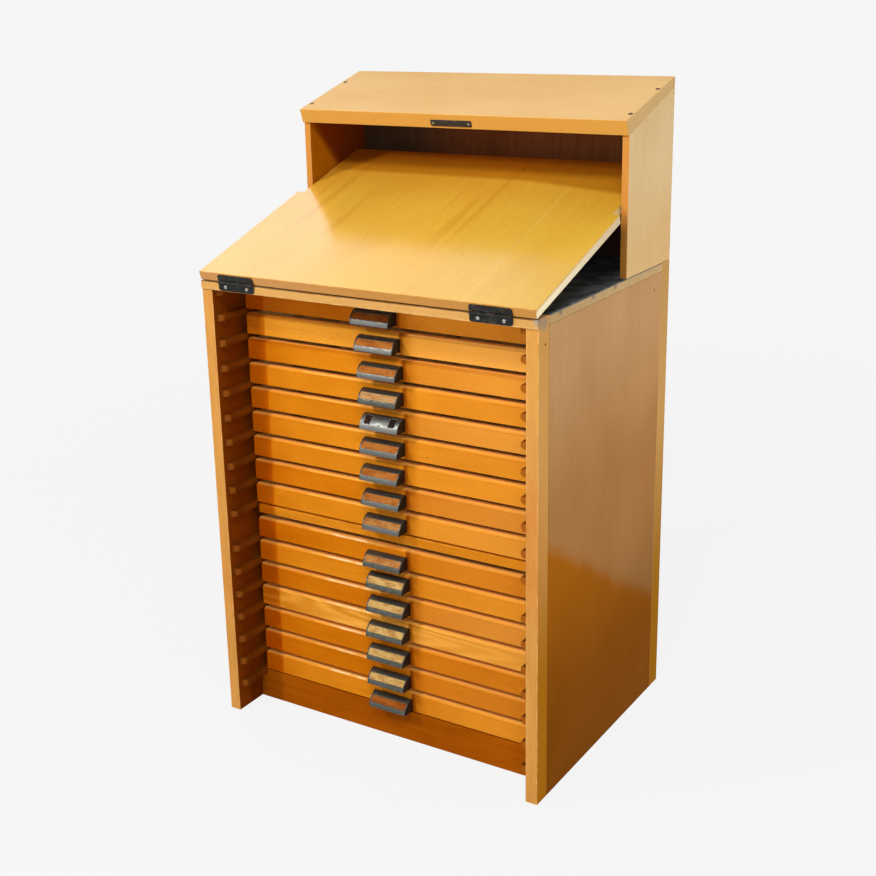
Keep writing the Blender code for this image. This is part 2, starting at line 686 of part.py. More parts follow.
def punch(centre):
    """A square tool through the middle of the card bed, square to its slope."""
    middle = (BED_FROM + BED_TO) / 2
    reach = PUNCH_SIZE / 2
    tool = box((centre - reach, centre + reach), (-reach, reach), (-PULL_DEPTH, PULL_DEPTH / 2))
    place_y, place_z = cup_arc(0, middle, middle, 1)[0]
    bmesh.ops.rotate(tool, verts=tool.verts, matrix=Matrix.Rotation(middle, 3, "X"))
    bmesh.ops.translate(tool, verts=tool.verts, vec=(0, place_y, place_z))
    return tool


def type_cases():
    case_mesh = type_case_mesh()
    pull = pull_mesh(False)
    bare_pull = pull_mesh(True)
    for number, level in enumerate(case_levels(), 1):
        place = (0, back_from_front(CASE_SETBACK), level)
        case = copy_of(case_mesh, f"type_case_{number:02d}", place)
        finished(case, BEECH_FRONT)
        shift, lift = PULL_PLACES.get(number, (PULL_SHIFT, PULL_LIFT))
        handle = copy_of(
            bare_pull if number == BARE_PULL else pull,
            f"case_pull_{number:02d}",
            (shift, -JOINT_GAP, lift),
            case,
        )
        finished(handle, PULL_STEEL)


carcass()
hutch()
hinges(desk_lid())
type_cases()
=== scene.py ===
"""A printers' cabinet in beech: sixteen type cases with steel cup pulls, a sloping desk lid above
them, and an open hutch with a sloping roof. Metres, +Z up, the front looks along -Y."""

import math

import bmesh
import bpy
from mathutils import Matrix, Vector


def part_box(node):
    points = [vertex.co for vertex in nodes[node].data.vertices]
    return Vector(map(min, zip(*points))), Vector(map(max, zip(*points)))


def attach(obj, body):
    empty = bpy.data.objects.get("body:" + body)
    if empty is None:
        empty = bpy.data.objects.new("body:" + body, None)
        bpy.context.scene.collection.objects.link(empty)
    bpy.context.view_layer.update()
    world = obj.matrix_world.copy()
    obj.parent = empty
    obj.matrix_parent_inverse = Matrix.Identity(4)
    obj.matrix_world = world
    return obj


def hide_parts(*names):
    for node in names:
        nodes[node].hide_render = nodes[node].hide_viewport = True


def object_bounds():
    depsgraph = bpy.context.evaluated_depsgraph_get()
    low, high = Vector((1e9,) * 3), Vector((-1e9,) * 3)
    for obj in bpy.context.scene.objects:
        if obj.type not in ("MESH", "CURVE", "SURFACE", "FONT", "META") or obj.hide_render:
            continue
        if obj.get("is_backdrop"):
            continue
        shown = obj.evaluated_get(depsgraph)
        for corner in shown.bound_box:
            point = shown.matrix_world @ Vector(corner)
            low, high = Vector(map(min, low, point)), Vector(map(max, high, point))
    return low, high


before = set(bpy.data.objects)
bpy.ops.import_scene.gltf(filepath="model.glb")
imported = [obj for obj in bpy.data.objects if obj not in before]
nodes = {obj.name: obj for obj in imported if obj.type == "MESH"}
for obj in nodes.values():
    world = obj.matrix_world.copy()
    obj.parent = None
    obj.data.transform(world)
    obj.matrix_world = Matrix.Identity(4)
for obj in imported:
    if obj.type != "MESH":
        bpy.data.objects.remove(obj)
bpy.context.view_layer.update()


# Side walls: beech stiles with an upright panel tongued between them, and strips let into the
# panel as runners for the cases, each held by nails. Varnished amber outside and paler at the
# rubbed edges; a painted reflection leaves the walls paler up high and darker towards the foot.
# Inside they are darker and redder, partly as painted shade.
def put(tree, kind, feeds=None, **settings):
    """Adds a node. Each feed is a fixed value for an input, or the output that drives it."""
    made = tree.nodes.new(kind)
    for key, value in settings.items():
        setattr(made, key, value)
    for key, value in (feeds or {}).items():
        if isinstance(value, bpy.types.NodeSocket):
            tree.links.new(value, made.inputs[key])
        else:
            made.inputs[key].default_value = value
    return made


def work_out(tree, operation, *values):
    return put(tree, "ShaderNodeMath", dict(enumerate(values)), operation=operation).outputs[0]


def fade(tree, value, low, high, start=0.0, end=1.0):
    """Goes smoothly from start to end while the value goes from low to high."""
    feeds = {"Value": value, "From Min": low, "From Max": high, "To Min": start, "To Max": end}
    made = put(tree, "ShaderNodeMapRange", feeds, interpolation_type="SMOOTHSTEP")
    return made.outputs["Result"]


def tinted(tree, mask, below, above, mode="MIX"):
    """Lays one colour over another where the mask is 1."""
    feeds = {0: mask, 6: below, 7: above}
    return put(tree, "ShaderNodeMix", feeds, data_type="RGBA", blend_type=mode).outputs[2]


def cloud(tree, place, stretch, detail=2.0, twist=0.0):
    """Soft noise from 0 to 1. A larger stretch along an axis makes its features shorter there."""
    drawn = put(tree, "ShaderNodeMapping", {"Vector": place, "Scale": stretch})
    feeds = {"Vector": drawn.outputs[0], "Scale": 1.0, "Detail": detail, "Distortion": twist}
    return put(tree, "ShaderNodeTexNoise", feeds).outputs["Fac"]


def effect(name, takes, gives):
    """A node group, with its input and output sockets."""
    tree = bpy.data.node_groups.new(name, "ShaderNodeTree")
    for direction, sockets in (("INPUT", takes), ("OUTPUT", gives)):
        for label, kind in sockets.items():
            tree.interface.new_socket(label, in_out=direction, socket_type="NodeSocket" + kind)
    given = tree.nodes.new("NodeGroupInput").outputs
    result = tree.nodes.new("NodeGroupOutput").inputs
    return tree, given, result


def tone(red, green, blue):
    """A colour as a colour card gives it, 0 to 255, in the linear form that a shader takes."""

    def linear(part):
        share = part / 255
        return share / 12.92 if share <= 0.04045 else ((share + 0.055) / 1.055) ** 2.4

    return (linear(red), linear(green), linear(blue), 1.0)


def beech_grain():
    """Beech with its grain along X: broad streaks, fine fibres, cathedral figure, soft blotches
    and the short dark flecks that mark this timber."""
    takes = {
        "Place": "Vector",
        "Pale": "Color",
        "Deep": "Color",
        "Streak": "Float",
        "Figure": "Float",
        "Blotch": "Float",
    }
    gives = {"Colour": "Color", "Height": "Float", "Dullness": "Float"}
    tree, given, result = effect("beech_grain", takes, gives)
    place = given["Place"]
    streak = cloud(tree, place, (4, 75, 75), 3.0)
    fibre = cloud(tree, place, (26, 620, 620), 2.0)
    patch = cloud(tree, place, (4.5, 7, 7), 3.0)
    rings = work_out(tree, "MULTIPLY", cloud(tree, place, (1.2, 14, 14), 1.0, 0.3), 95.0)
    figure = work_out(tree, "SINE", rings)
    flecks = fade(tree, cloud(tree, place, (150, 1300, 1300), 1.0), 0.62, 0.72)
    lines = work_out(tree, "SUBTRACT", work_out(tree, "MULTIPLY_ADD", fibre, 0.7, streak), 0.85)
    depth = work_out(tree, "MULTIPLY_ADD", lines, given["Streak"], 0.5)
    figuring = work_out(tree, "MULTIPLY", given["Figure"], 0.16)
    depth = work_out(tree, "MULTIPLY_ADD", figure, figuring, depth)
    unevenness = work_out(tree, "MULTIPLY", work_out(tree, "SUBTRACT", patch, 0.5), 2.0)
    depth = work_out(tree, "MULTIPLY_ADD", unevenness, given["Blotch"], depth)
    stained = tinted(tree, fade(tree, depth, 0.0, 1.0), given["Pale"], given["Deep"])
    fleck_depth = work_out(tree, "MULTIPLY", flecks, 0.3)
    flecked = tinted(tree, fleck_depth, stained, tone(150, 95, 60), "MULTIPLY")
    tree.links.new(flecked, result["Colour"])
    height = work_out(tree, "MULTIPLY_ADD", streak, 0.5, fibre)
    tree.links.new(work_out(tree, "SUBTRACT", height, flecks), result["Height"])
    tree.links.new(work_out(tree, "MULTIPLY_ADD", fibre, 0.5, patch), result["Dullness"])
    return tree


def rubbed_edges():
    """1 along the edges of a board that fills the box from Low to High, broken up by noise."""
    takes = {"Place": "Vector", "Low": "Vector", "High": "Vector", "Reach": "Float"}
    tree, given, result = effect("rubbed_edges", takes, {"Rub": "Float"})

    def on_vectors(operation, first, second):
        feeds = {0: first, 1: second}
        return put(tree, "ShaderNodeVectorMath", feeds, operation=operation).outputs[0]

    to_low = on_vectors("SUBTRACT", given["Place"], given["Low"])
    to_high = on_vectors("SUBTRACT", given["High"], given["Place"])
    nearest = on_vectors("MINIMUM", to_low, to_high)
    x, y, z = put(tree, "ShaderNodeSeparateXYZ", {0: nearest}).outputs
    farthest = work_out(tree, "MAXIMUM", work_out(tree, "MAXIMUM", x, y), z)
    total = work_out(tree, "ADD", work_out(tree, "ADD", x, y), z)
    to_edge = work_out(tree, "SUBTRACT", total, farthest)
    rough = cloud(tree, given["Place"], (55, 55, 55), 4.0)
    reach = work_out(tree, "MULTIPLY", given["Reach"], fade(tree, rough, 0.3, 0.75, 0.1, 1.6))
    tree.links.new(fade(tree, to_edge, 0.0, reach, 1.0, 0.0), result["Rub"])
    return tree


def knocks():
    """Small dents and specks, one in some of the cells of a loose pattern."""
    takes = {"Place": "Vector", "Cells": "Float"}
    tree, given, result = effect("knocks", takes, {"Speck": "Float"})
    feeds = {"Vector": given["Place"], "Scale": given["Cells"]}
    spread = put(tree, "ShaderNodeTexVoronoi", feeds).outputs
    chosen = put(tree, "ShaderNodeSeparateColor", {"Color": spread["Color"]}).outputs[0]
    size = fade(tree, chosen, 0.80, 1.0, 0.0, 0.10)
    tree.links.new(fade(tree, spread["Distance"], 0.0, size, 1.0, 0.0), result["Speck"])
    return tree


BEECH_GRAIN = beech_grain()
RUBBED_EDGES = rubbed_edges()
KNOCKS = knocks()


class Finish:
    """A material in the making, with layers laid over its base in the order they are called."""

    def __init__(self, name, roughness, specular=0.5, metallic=0.0, coat=0.0, coat_roughness=0.2):
        self.material = bpy.data.materials.new(name)
        self.material.use_nodes = True
        self.tree = self.material.node_tree
        self.shader = self.tree.nodes["Principled BSDF"]
        self.shader.inputs["Roughness"].default_value = roughness
        self.shader.inputs["Specular IOR Level"].default_value = specular
        self.shader.inputs["Metallic"].default_value = metallic
        self.shader.inputs["Coat Weight"].default_value = coat
        self.shader.inputs["Coat Roughness"].default_value = coat_roughness
        self.place = put(self.tree, "ShaderNodeTexCoord").outputs["Object"]
        self.x, self.y, self.z = put(self.tree, "ShaderNodeSeparateXYZ", {0: self.place}).outputs
        self.colour = None

    def use(self, group, **feeds):
        return put(self.tree, "ShaderNodeGroup", feeds, node_tree=group).outputs

    def work_out(self, operation, *values):
        return work_out(self.tree, operation, *values)

    def fade(self, along, low, high, start=0.0, end=1.0):
        return fade(self.tree, along, low, high, start, end)

    def tinted(self, mask, below, above, mode="MIX"):
        return tinted(self.tree, mask, below, above, mode)

    def base(self, colour):
        self.colour = colour
        self.tree.links.new(colour, self.shader.inputs["Base Color"])

    def lay(self, mask, colour, share=1.0, mode="MIX"):
        """Covers what is there with a colour, as far as the mask and the share say."""
        if share != 1.0:
            mask = self.work_out("MULTIPLY", mask, share)
        self.base(self.tinted(mask, self.colour, colour, mode))

    def stain(self, mask, colour):
        """Darkens what is there by a colour, and lets the grain show through."""
        self.lay(mask, colour, mode="MULTIPLY")

    def knocked(self, cells, colour, share):
        self.lay(self.use(KNOCKS, Place=self.place, Cells=cells)["Speck"], colour, share)

    def dulled(self, value, low, high, smooth, rough):
        dullness = self.fade(value, low, high, smooth, rough)
        self.tree.links.new(dullness, self.shader.inputs["Roughness"])

    def polished(self, mask):
        self.tree.links.new(mask, self.shader.inputs["Coat Weight"])

    def raised(self, height, distance, strength=0.5):
        feeds = {"Height": height, "Distance": distance, "Strength": strength}
        bump = put(self.tree, "ShaderNodeBump", feeds)
        self.tree.links.new(bump.outputs["Normal"], self.shader.inputs["Normal"])

    def both(self, first, second):
        return self.work_out("MULTIPLY", first, second)

    def between(self, along, low, high, soft=0.0002):
        """1 between two places along an axis."""
        rise = self.fade(along, low - soft, low + soft)
        fall = self.fade(along, high - soft, high + soft, 1.0, 0.0)
        return self.both(rise, fall)

    def near(self, point, reach, soft):
        """1 within reach of a point."""
        feeds = {0: self.place, 1: point}
        away = put(self.tree, "ShaderNodeVectorMath", feeds, operation="DISTANCE")
        return self.fade(away.outputs["Value"], reach - soft, reach + soft, 1.0, 0.0)

    def edges(self, place, box, reach):
        """1 along the rubbed edges of a board that fills a box."""
        low, high = box
        return self.use(RUBBED_EDGES, Place=place, Low=low, High=high, Reach=reach)["Rub"]

    def patches(self, stretch, low, high, detail=3.0):
        return self.fade(cloud(self.tree, self.place, stretch, detail), low, high)


ACROSS = ()
UPRIGHT = (("POINT", (0, 0, 0), (0, math.pi / 2, 0)),)
FORE_AND_AFT = (("POINT", (0, 0, 0), (0, 0, -math.pi / 2)),)


def beech(name, turns, pale, deep, cut, *, figure, blotch, streak=0.6, **gloss):
    """A varnished board. Turns lay its grain along X, and cut moves it to its own part of the
    tree. Figure, blotch and streak tell how strongly each of them shows."""
    gloss = {"roughness": 0.42, "specular": 0.006, **gloss}
    finish = Finish(name, **gloss)
    turned = finish.place
    own_part = ("POINT", (1.3 * cut, 2.1 * cut, 0.7 * cut), (0, 0, 0))
    for kind, location, rotation in (*turns, own_part):
        feeds = {"Vector": turned, "Location": location, "Rotation": rotation}
        turned = put(finish.tree, "ShaderNodeMapping", feeds, vector_type=kind).outputs[0]
    looks = {"Pale": pale, "Deep": deep, "Streak": streak, "Figure": figure, "Blotch": blotch}
    wood = finish.use(BEECH_GRAIN, Place=turned, **looks)
    finish.base(wood["Colour"])
    finish.dulled(wood["Dullness"], 0.4, 1.1, gloss["roughness"] - 0.08, gloss["roughness"] + 0.12)
    finish.raised(wood["Height"], 0.0004, 0.25)
    return finish


def dress(name, finish):
    """Gives a CAD node its finish."""
    held = nodes[name].data.materials
    held.clear()
    held.append(finish.material)


SPECK = tone(70, 38, 14)
BRUISE = tone(150, 148, 140)
WALL_OUTSIDE = 0.3498
STILE_INSIDE = 0.3268
NAIL_HOLE = (0.0022, 0.0006)
STILES = {
    "left_front_stile": 1.1,
    "left_rear_stile": 2.3,
    "right_front_stile": 3.6,
    "right_rear_stile": 4.2,
}
for name, cut in STILES.items():
    low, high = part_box(name)
    pale, deep = tone(219, 159, 84), tone(197, 137, 64)
    varnish = beech("varnish_" + name, UPRIGHT, pale, deep, cut, figure=0.25, blotch=0.5)
    varnish.lay(varnish.edges(varnish.place, (low, high), 0.0025), tone(240, 188, 116), 0.75)
    varnish.lay(varnish.patches((9, 9, 5), 0.54, 0.74), tone(208, 116, 54), 0.35)
    aside = varnish.work_out("ABSOLUTE", varnish.x)
    # The inside faces are laid darker and redder, partly as painted shade.
    varnish.lay(varnish.between(aside, 0.0, STILE_INSIDE), tone(122, 58, 6))
    outside = varnish.between(aside, WALL_OUTSIDE, 1.0)
    varnish.lay(outside, tone(213, 169, 102) if "rear" in name else tone(233, 175, 96), 0.75)
    # Painted reflection: outside, the stiles are paler up high and stained darker towards the
    # foot.
    towards_the_foot = varnish.fade(varnish.z, 0.20, 0.66, 1.0, 0.0)
    varnish.stain(varnish.both(outside, towards_the_foot), tone(205, 178, 48))
    varnish.knocked(45.0, SPECK, 0.8)
    if "front" in name:
        seam = varnish.between(varnish.y, high.y - 0.0015, 1.0, 0.0003)
        varnish.lay(varnish.both(outside, seam), tone(70, 40, 12), 0.85)
    if name == "right_front_stile":
        varnish.lay(varnish.near((0.35, -0.2425, 0.8442), *NAIL_HOLE), SPECK)
        varnish.lay(varnish.near((0.352, -0.2475, 0.8815), 0.013, 0.006), BRUISE, 0.6)
    dress(name, varnish)

PANEL_INSIDE = 0.3400
RUNNER_FACE = 0.32635
NOSE_BACK = -0.2538
# Each wall's nose tone: the left noses are darker than the right as painted shade.
PANELS = {
    "left_side_panel": (5.7, tone(130, 70, 22)),
    "right_side_panel": (6.4, tone(170, 95, 26)),
}
for name, (cut, nose_tone) in PANELS.items():
    varnish = beech(
        "varnish_" + name,
        UPRIGHT,
        tone(218, 171, 120),
        tone(206, 158, 107),
        cut,
        figure=0.2,
        blotch=0.9,
        streak=0.4,
        roughness=0.36,
        specular=0.003,
    )
    # Painted reflection: the panels are paler up high and stained darker towards the foot.
    varnish.stain(varnish.fade(varnish.z, 0.50, 0.86, 1.0, 0.0), tone(221, 203, 175))
    varnish.stain(varnish.fade(varnish.z, 0.10, 0.50, 1.0, 0.0), tone(200, 198, 182))
    varnish.knocked(30.0, SPECK, 0.8)
    if name == "right_side_panel":
        # Painted reflection: below a ragged slanting line the right panel is stained darker, above
        # it it keeps the pale reflection.
        slant = varnish.work_out("MULTIPLY_ADD", varnish.y, 0.586, varnish.z)
        tatter = cloud(varnish.tree, varnish.place, (9, 9, 4), 3.0)
        ragged = varnish.work_out("MULTIPLY_ADD", tatter, 0.05, slant)
        varnish.stain(varnish.fade(ragged, 0.35, 0.40, 1.0, 0.0), tone(249, 206, 62))
        varnish.lay(varnish.near((0.35, 0.2042, 0.8453), *NAIL_HOLE), SPECK)
    aside = varnish.work_out("ABSOLUTE", varnish.x)
    # The inside faces and runners are laid darker and redder, partly as painted shade.
    patchy = varnish.patches((8, 8, 3), 0.35, 0.65)
    red_brown = varnish.tinted(patchy, tone(122, 54, 3), tone(98, 42, 2))
    varnish.lay(varnish.between(aside, 0.0, PANEL_INSIDE), red_brown)
    runner = varnish.between(aside, 0.0, RUNNER_FACE, 0.00005)
    varnish.lay(runner, varnish.tinted(patchy, tone(114, 57, 8), tone(92, 44, 5)))
    # The noses get their wall's tone; the left one is darker as painted shade.
    nose = varnish.both(runner, varnish.between(varnish.y, -0.3, NOSE_BACK, 0.0015))
    varnish.lay(nose, nose_tone, 0.85)
    dress(name, varnish)


def as_mesh(name, shape):
    """Turns a finished shape into a mesh."""
    mesh = bpy.data.meshes.new(name)
    shape.to_mesh(mesh)
    shape.free()
    return mesh


def set_in(name, shape, finish, body):
    """Makes a piece of a finished shape and fixes it to the body that carries it."""
    mesh = as_mesh(name, shape)
    mesh.materials.append(finish.material)
    mesh.shade_smooth()
    mesh.set_sharp_from_angle(angle=math.radians(35))
    piece = bpy.data.objects.new(name, mesh)
    bpy.context.scene.collection.objects.link(piece)
    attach(piece, body)
    return piece


def nail_head(radius):
    """A low domed head with a hammered flat, standing on its Z axis."""
    head = bmesh.new()
    bmesh.ops.create_circle(head, cap_ends=True, radius=radius, segments=12)
    flat = head.faces[:]
    for thickness, depth in ((0.18, 0.20), (0.40, 0.14)):
        rim = radius * thickness
        bmesh.ops.inset_region(head, faces=flat, thickness=rim, depth=radius * depth)
    return as_mesh("nail_head", head)


def repeated(pattern, places):
    """One shape made of a pattern set down at each of its places."""
    shape = bmesh.new()
    for place in places:
        copy = pattern.copy()
        copy.transform(place)
        shape.from_mesh(copy)
        bpy.data.meshes.remove(copy)
    return shape


def spotted(name, clean, spots, cells, spread, dullness, detail=3.0, relief=None, **gloss):
    """A finish with duller spots of a second colour, which stand up if a relief is given."""
    finish = Finish(name, **gloss)
    mask = finish.patches((cells, cells, cells), *spread, detail)
    finish.base(finish.tinted(mask, clean, spots))
    finish.dulled(mask, 0.0, 1.0, *dullness)
    if relief:
        finish.raised(mask, *relief)
    return finish


CASE_PITCH = 0.049
UPPER_FLOORS = [0.8247 - CASE_PITCH * row for row in range(9)]
LOWER_FLOORS = [0.3595 - CASE_PITCH * row for row in range(7)]
CASE_FLOORS = UPPER_FLOORS + LOWER_FLOORS
RUNNER_HALF = 0.311
NAIL_SINK = 0.0001
NAIL_DROP = 0.0068
NAIL_ROWS = (-0.236, 0.005, 0.215)
iron = spotted(
    "blackened_iron",
    tone(52, 44, 40),
    tone(92, 56, 34),
    600,
    (0.45, 0.65),
    (0.4, 0.75),
    roughness=0.55,
    metallic=0.7,
)
nail = nail_head(0.0021)
for side, sign in (("left", -1), ("right", 1)):
    facing = Matrix.Rotation(-sign * math.pi / 2, 4, "Y")
    places = []
    for floor in CASE_FLOORS:
        for y in NAIL_ROWS:
            spot = (sign * (RUNNER_HALF - NAIL_SINK), y, floor - NAIL_DROP)
            places.append(Matrix.Translation(spot) @ facing)
    set_in(f"runner_nails_{side}", repeated(nail, places), iron, "cabinet")


# Plinth, middle rail and back: beech boards between the side walls. The plinth and the rail are
# in line with the case fronts, the bottom rail and the thin back close the cabinet behind.
def paint_left_wall_shadow(finish):
    """Paints the shadow of the left wall on the left ends beside it."""
    finish.stain(finish.fade(finish.x, -0.2700, -0.2645, 1.0, 0.0), tone(232, 196, 130))


pale, deep = tone(172, 89, 6), tone(144, 71, 2)
plinth = beech("varnish_plinth", ACROSS, pale, deep, 7.9, figure=0.5, blotch=0.6)
plinth.knocked(35.0, SPECK, 0.8)
dress("plinth", plinth)
pale, deep = tone(221, 140, 33), tone(197, 117, 20)
rail = beech("varnish_mid_rail", ACROSS, pale, deep, 8.4, figure=0.2, blotch=0.5)
rail.lay(rail.edges(rail.place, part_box("mid_rail"), 0.002), tone(232, 154, 56), 0.75)
paint_left_wall_shadow(rail)
# Painted shade: both ends of the rail are laid dark brown, like the shaded gap beside the walls.
rail_ends = rail.fade(rail.work_out("ABSOLUTE", rail.x), 0.3045, 0.3075)
rail.lay(rail_ends, tone(64, 28, 4))
dress("mid_rail", rail)
pale, deep = tone(158, 108, 62), tone(112, 70, 36)
back = beech("bare_back", UPRIGHT, pale, deep, 9.3, figure=0.5, blotch=0.6, roughness=0.6)
back.lay(back.patches((6, 6, 3), 0.5, 0.75), tone(84, 54, 30), 0.6)
dress("back_panel", back)
pale, deep = tone(150, 98, 54), tone(108, 66, 32)
rear_rail = beech("bare_rail", ACROSS, pale, deep, 9.9, figure=0.3, blotch=0.6, roughness=0.6)
dress("rear_bottom_rail", rear_rail)


# Top board and front strip: the board under the lid is painted black on top and worn grey along
# its edges, its sides left as pale wood. A lighter strip is glued along its front.
PAINT_BOTTOM = 0.8890
pale, deep = tone(226, 192, 140), tone(200, 166, 114)
board = beech("painted_top", ACROSS, pale, deep, 10.6, figure=0.2, blotch=0.5, roughness=0.45)
painted = board.between(board.z, PAINT_BOTTOM, 1.0, 0.0003)
scuffed = board.patches((30, 30, 30), 0.42, 0.62, 5.0)
board.lay(painted, board.tinted(scuffed, tone(58, 63, 70), tone(88, 93, 100)))
worn_edges = board.edges(board.place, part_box("top_board"), 0.010)
board.lay(board.both(worn_edges, painted), tone(150, 152, 150), 0.6)
for y in (-0.1884, -0.0631, 0.0280):
    board.lay(board.near((0.352, y, 0.8885), 0.0065, 0.002), tone(128, 126, 122), 0.8)
dress("top_board", board)
pale, deep = tone(216, 167, 98), tone(196, 146, 80)
strip = beech("varnish_strip", ACROSS, pale, deep, 11.2, figure=0.2, blotch=0.5)
strip.lay(strip.edges(strip.place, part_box("top_front_strip"), 0.003), tone(236, 196, 132), 0.75)
strip.knocked(40.0, SPECK, 0.8)
# Painted shadow: the top of the strip is laid dark where the lid's front edge shades it.
strip.lay(strip.between(strip.z, 0.8884, 1.0, 0.0005), tone(88, 52, 20), 0.8)
strip.lay(strip.near((0.352, -0.268, 0.8885), 0.010, 0.004), BRUISE, 0.7)
dress("top_front_strip", strip)


# Hutch: two thin sides and a back standing on the rear of the top, under a roof board that is
# thicker at its front. Four screws hold the roof, and a blank plate sits on its front edge.
HUTCH_FRONT = 0.0752
HUTCH_INSIDE = 0.3368
for name, cut in {"hutch_left_side": 12.7, "hutch_right_side": 13.5}.items():
    pale, deep = tone(255, 226, 175), tone(247, 211, 156)
    side = beech("varnish_" + name, UPRIGHT, pale, deep, cut, figure=0.2, blotch=0.8, streak=0.35)
    side.stain(side.fade(side.z, 0.90, 1.12, 1.0, 0.0), tone(248, 238, 222))
    # Painted shade: the front edges are laid darker below the lid, which shades them.
    above_the_lid = side.fade(side.z, 0.97, 1.02)
    edge = side.tinted(above_the_lid, tone(146, 92, 22), tone(202, 132, 50))
    side.lay(side.between(side.y, -1.0, HUTCH_FRONT, 0.0006), edge, 0.95)
    towards_the_roof = side.work_out("MULTIPLY_ADD", side.y, 1.162, side.z)
    shade = side.fade(towards_the_roof, 1.225, 1.262)
    inside = side.between(side.work_out("ABSOLUTE", side.x), 0.0, HUTCH_INSIDE)
    side.lay(inside, side.tinted(shade, tone(166, 98, 6), tone(120, 54, 12)))
    side.knocked(40.0, SPECK, 0.6)
    dress(name, side)
pale, deep = tone(122, 76, 46), tone(98, 58, 34)
back = beech("dark_hutch_back", UPRIGHT, pale, deep, 14.8, figure=0.4, blotch=0.6, roughness=0.55)
facing_in = back.between(back.y, -1.0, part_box("hutch_back")[0].y + 0.001, 0.0003)
# Painted shade: on its inner face the back is laid near-black low down and stained darker to the
# left, where the hutch is deep in shade.
low_down = back.fade(back.z, 0.98, 1.04, 1.0, 0.0)
back.lay(back.both(facing_in, low_down), tone(22, 20, 20), 0.9)
to_the_left = back.fade(back.x, -0.24, -0.05, 1.0, 0.0)
back.stain(back.both(facing_in, to_the_left), tone(158, 196, 235))
dress("hutch_back", back)
ROOF_FRONT = Vector((0, 0.060622, 1.17086))
ROOF_SLOPE = Matrix.Rotation(math.radians(15.5), 4, "X")
EDGE_LEAN = 0.3355
roof = beech(
    "varnish_roof",
    ACROSS,
    tone(242, 201, 140),
    tone(232, 188, 124),
    15.4,
    figure=0.2,
    blotch=0.6,
    streak=0.35,
    roughness=0.38,
)
lean = roof.work_out("MULTIPLY_ADD", roof.z, EDGE_LEAN, roof.y)
front_edge = ROOF_FRONT.y + EDGE_LEAN * ROOF_FRONT.z + 0.0006
roof.lay(roof.between(lean, -1.0, front_edge, 0.0003), tone(211, 153, 67), 0.95)
roof.knocked(40.0, SPECK, 0.6)
dress("hutch_roof", roof)


def slotted_screw(radius, slot_width):
    """A flat countersunk head with a turned edge and a sawn slot, standing on its Z axis."""
    head = bmesh.new()
    bmesh.ops.create_circle(head, cap_ends=True, radius=radius, segments=24)
    rim = radius * 0.16
    bmesh.ops.inset_region(head, faces=head.faces[:], thickness=rim, depth=radius * 0.14)
    for offset, away in ((slot_width / 2, 1), (-slot_width / 2, -1)):
        parts = [*head.verts, *head.edges, *head.faces]
        bmesh.ops.bisect_plane(head, geom=parts, plane_co=(0, offset, 0), plane_no=(0, away, 0))
    slot = [face for face in head.faces if abs(face.calc_center_median().y) < slot_width / 4]
    sunk = bmesh.ops.extrude_face_region(head, geom=slot)
    floor = [part for part in sunk["geom"] if isinstance(part, bmesh.types.BMVert)]
    bmesh.ops.translate(head, vec=(0, 0, -radius * 0.25), verts=floor)
    bmesh.ops.delete(head, geom=slot, context="FACES")
    return as_mesh("slotted_screw", head)


SCREW_SINK = 0.0001
roof_places = []
for x in (-0.3405, 0.3435):
    for up_slope, turn in ((0.031, 0.5), (0.154, 2.1)):
        on_roof = Matrix.Translation((x, up_slope, -SCREW_SINK))
        spin = Matrix.Rotation(turn + x, 4, "Z")
        roof_places.append(Matrix.Translation(ROOF_FRONT) @ ROOF_SLOPE @ on_roof @ spin)
roof_screw = slotted_screw(0.0042, 0.0011)
set_in("roof_screws", repeated(roof_screw, roof_places), iron, "cabinet")


def round_off(shape, edges, reach, segments, **limits):
    bmesh.ops.bevel(
        shape,
        geom=edges,
        offset=reach,
        segments=segments,
        profile=0.5,
        affect="EDGES",
        material=-1,
        **limits,
    )


PLATE_SIZE = (0.088, 0.0125, 0.0012)
ROOF_EDGE = Matrix.Rotation(math.radians(90 + 18.5), 4, "X")
plate_place = Matrix.Translation((-0.005, 0.06628, 1.15386)) @ ROOF_EDGE
plate = bmesh.new()
stock = Matrix.LocRotScale((0, 0, PLATE_SIZE[2] / 2), None, PLATE_SIZE)
bmesh.ops.create_cube(plate, size=1.0, matrix=stock)
corners = [edge for edge in plate.edges if abs(edge.verts[0].co.z - edge.verts[1].co.z) > 0.001]
round_off(plate, corners, 0.0025, 4)
rim = [edge for edge in plate.edges if all(corner.co.z > 0.001 for corner in edge.verts)]
round_off(plate, rim, 0.0003, 2)
bmesh.ops.transform(plate, matrix=plate_place, verts=plate.verts)
enamel = spotted(
    "black_plate",
    tone(24, 22, 20),
    tone(52, 46, 40),
    180,
    (0.5, 0.7),
    (0.3, 0.6),
    detail=4.0,
    roughness=0.35,
    specular=0.4,
)
set_in("blank_plate", plate, enamel, "cabinet")
steel = spotted(
    "bright_screw_steel",
    tone(214, 210, 202),
    tone(140, 134, 124),
    700,
    (0.4, 0.7),
    (0.22, 0.5),
    roughness=0.28,
    metallic=1.0,
)
plate_screw = slotted_screw(0.0022, 0.0006)
plate_screws = [
    plate_place @ Matrix.Translation((x, 0, PLATE_SIZE[2])) @ Matrix.Rotation(turn, 4, "Z")
    for x, turn in ((-0.038, 0.4), (0.038, 1.9))
]
set_in("plate_screws", repeated(plate_screw, plate_screws), steel, "cabinet")


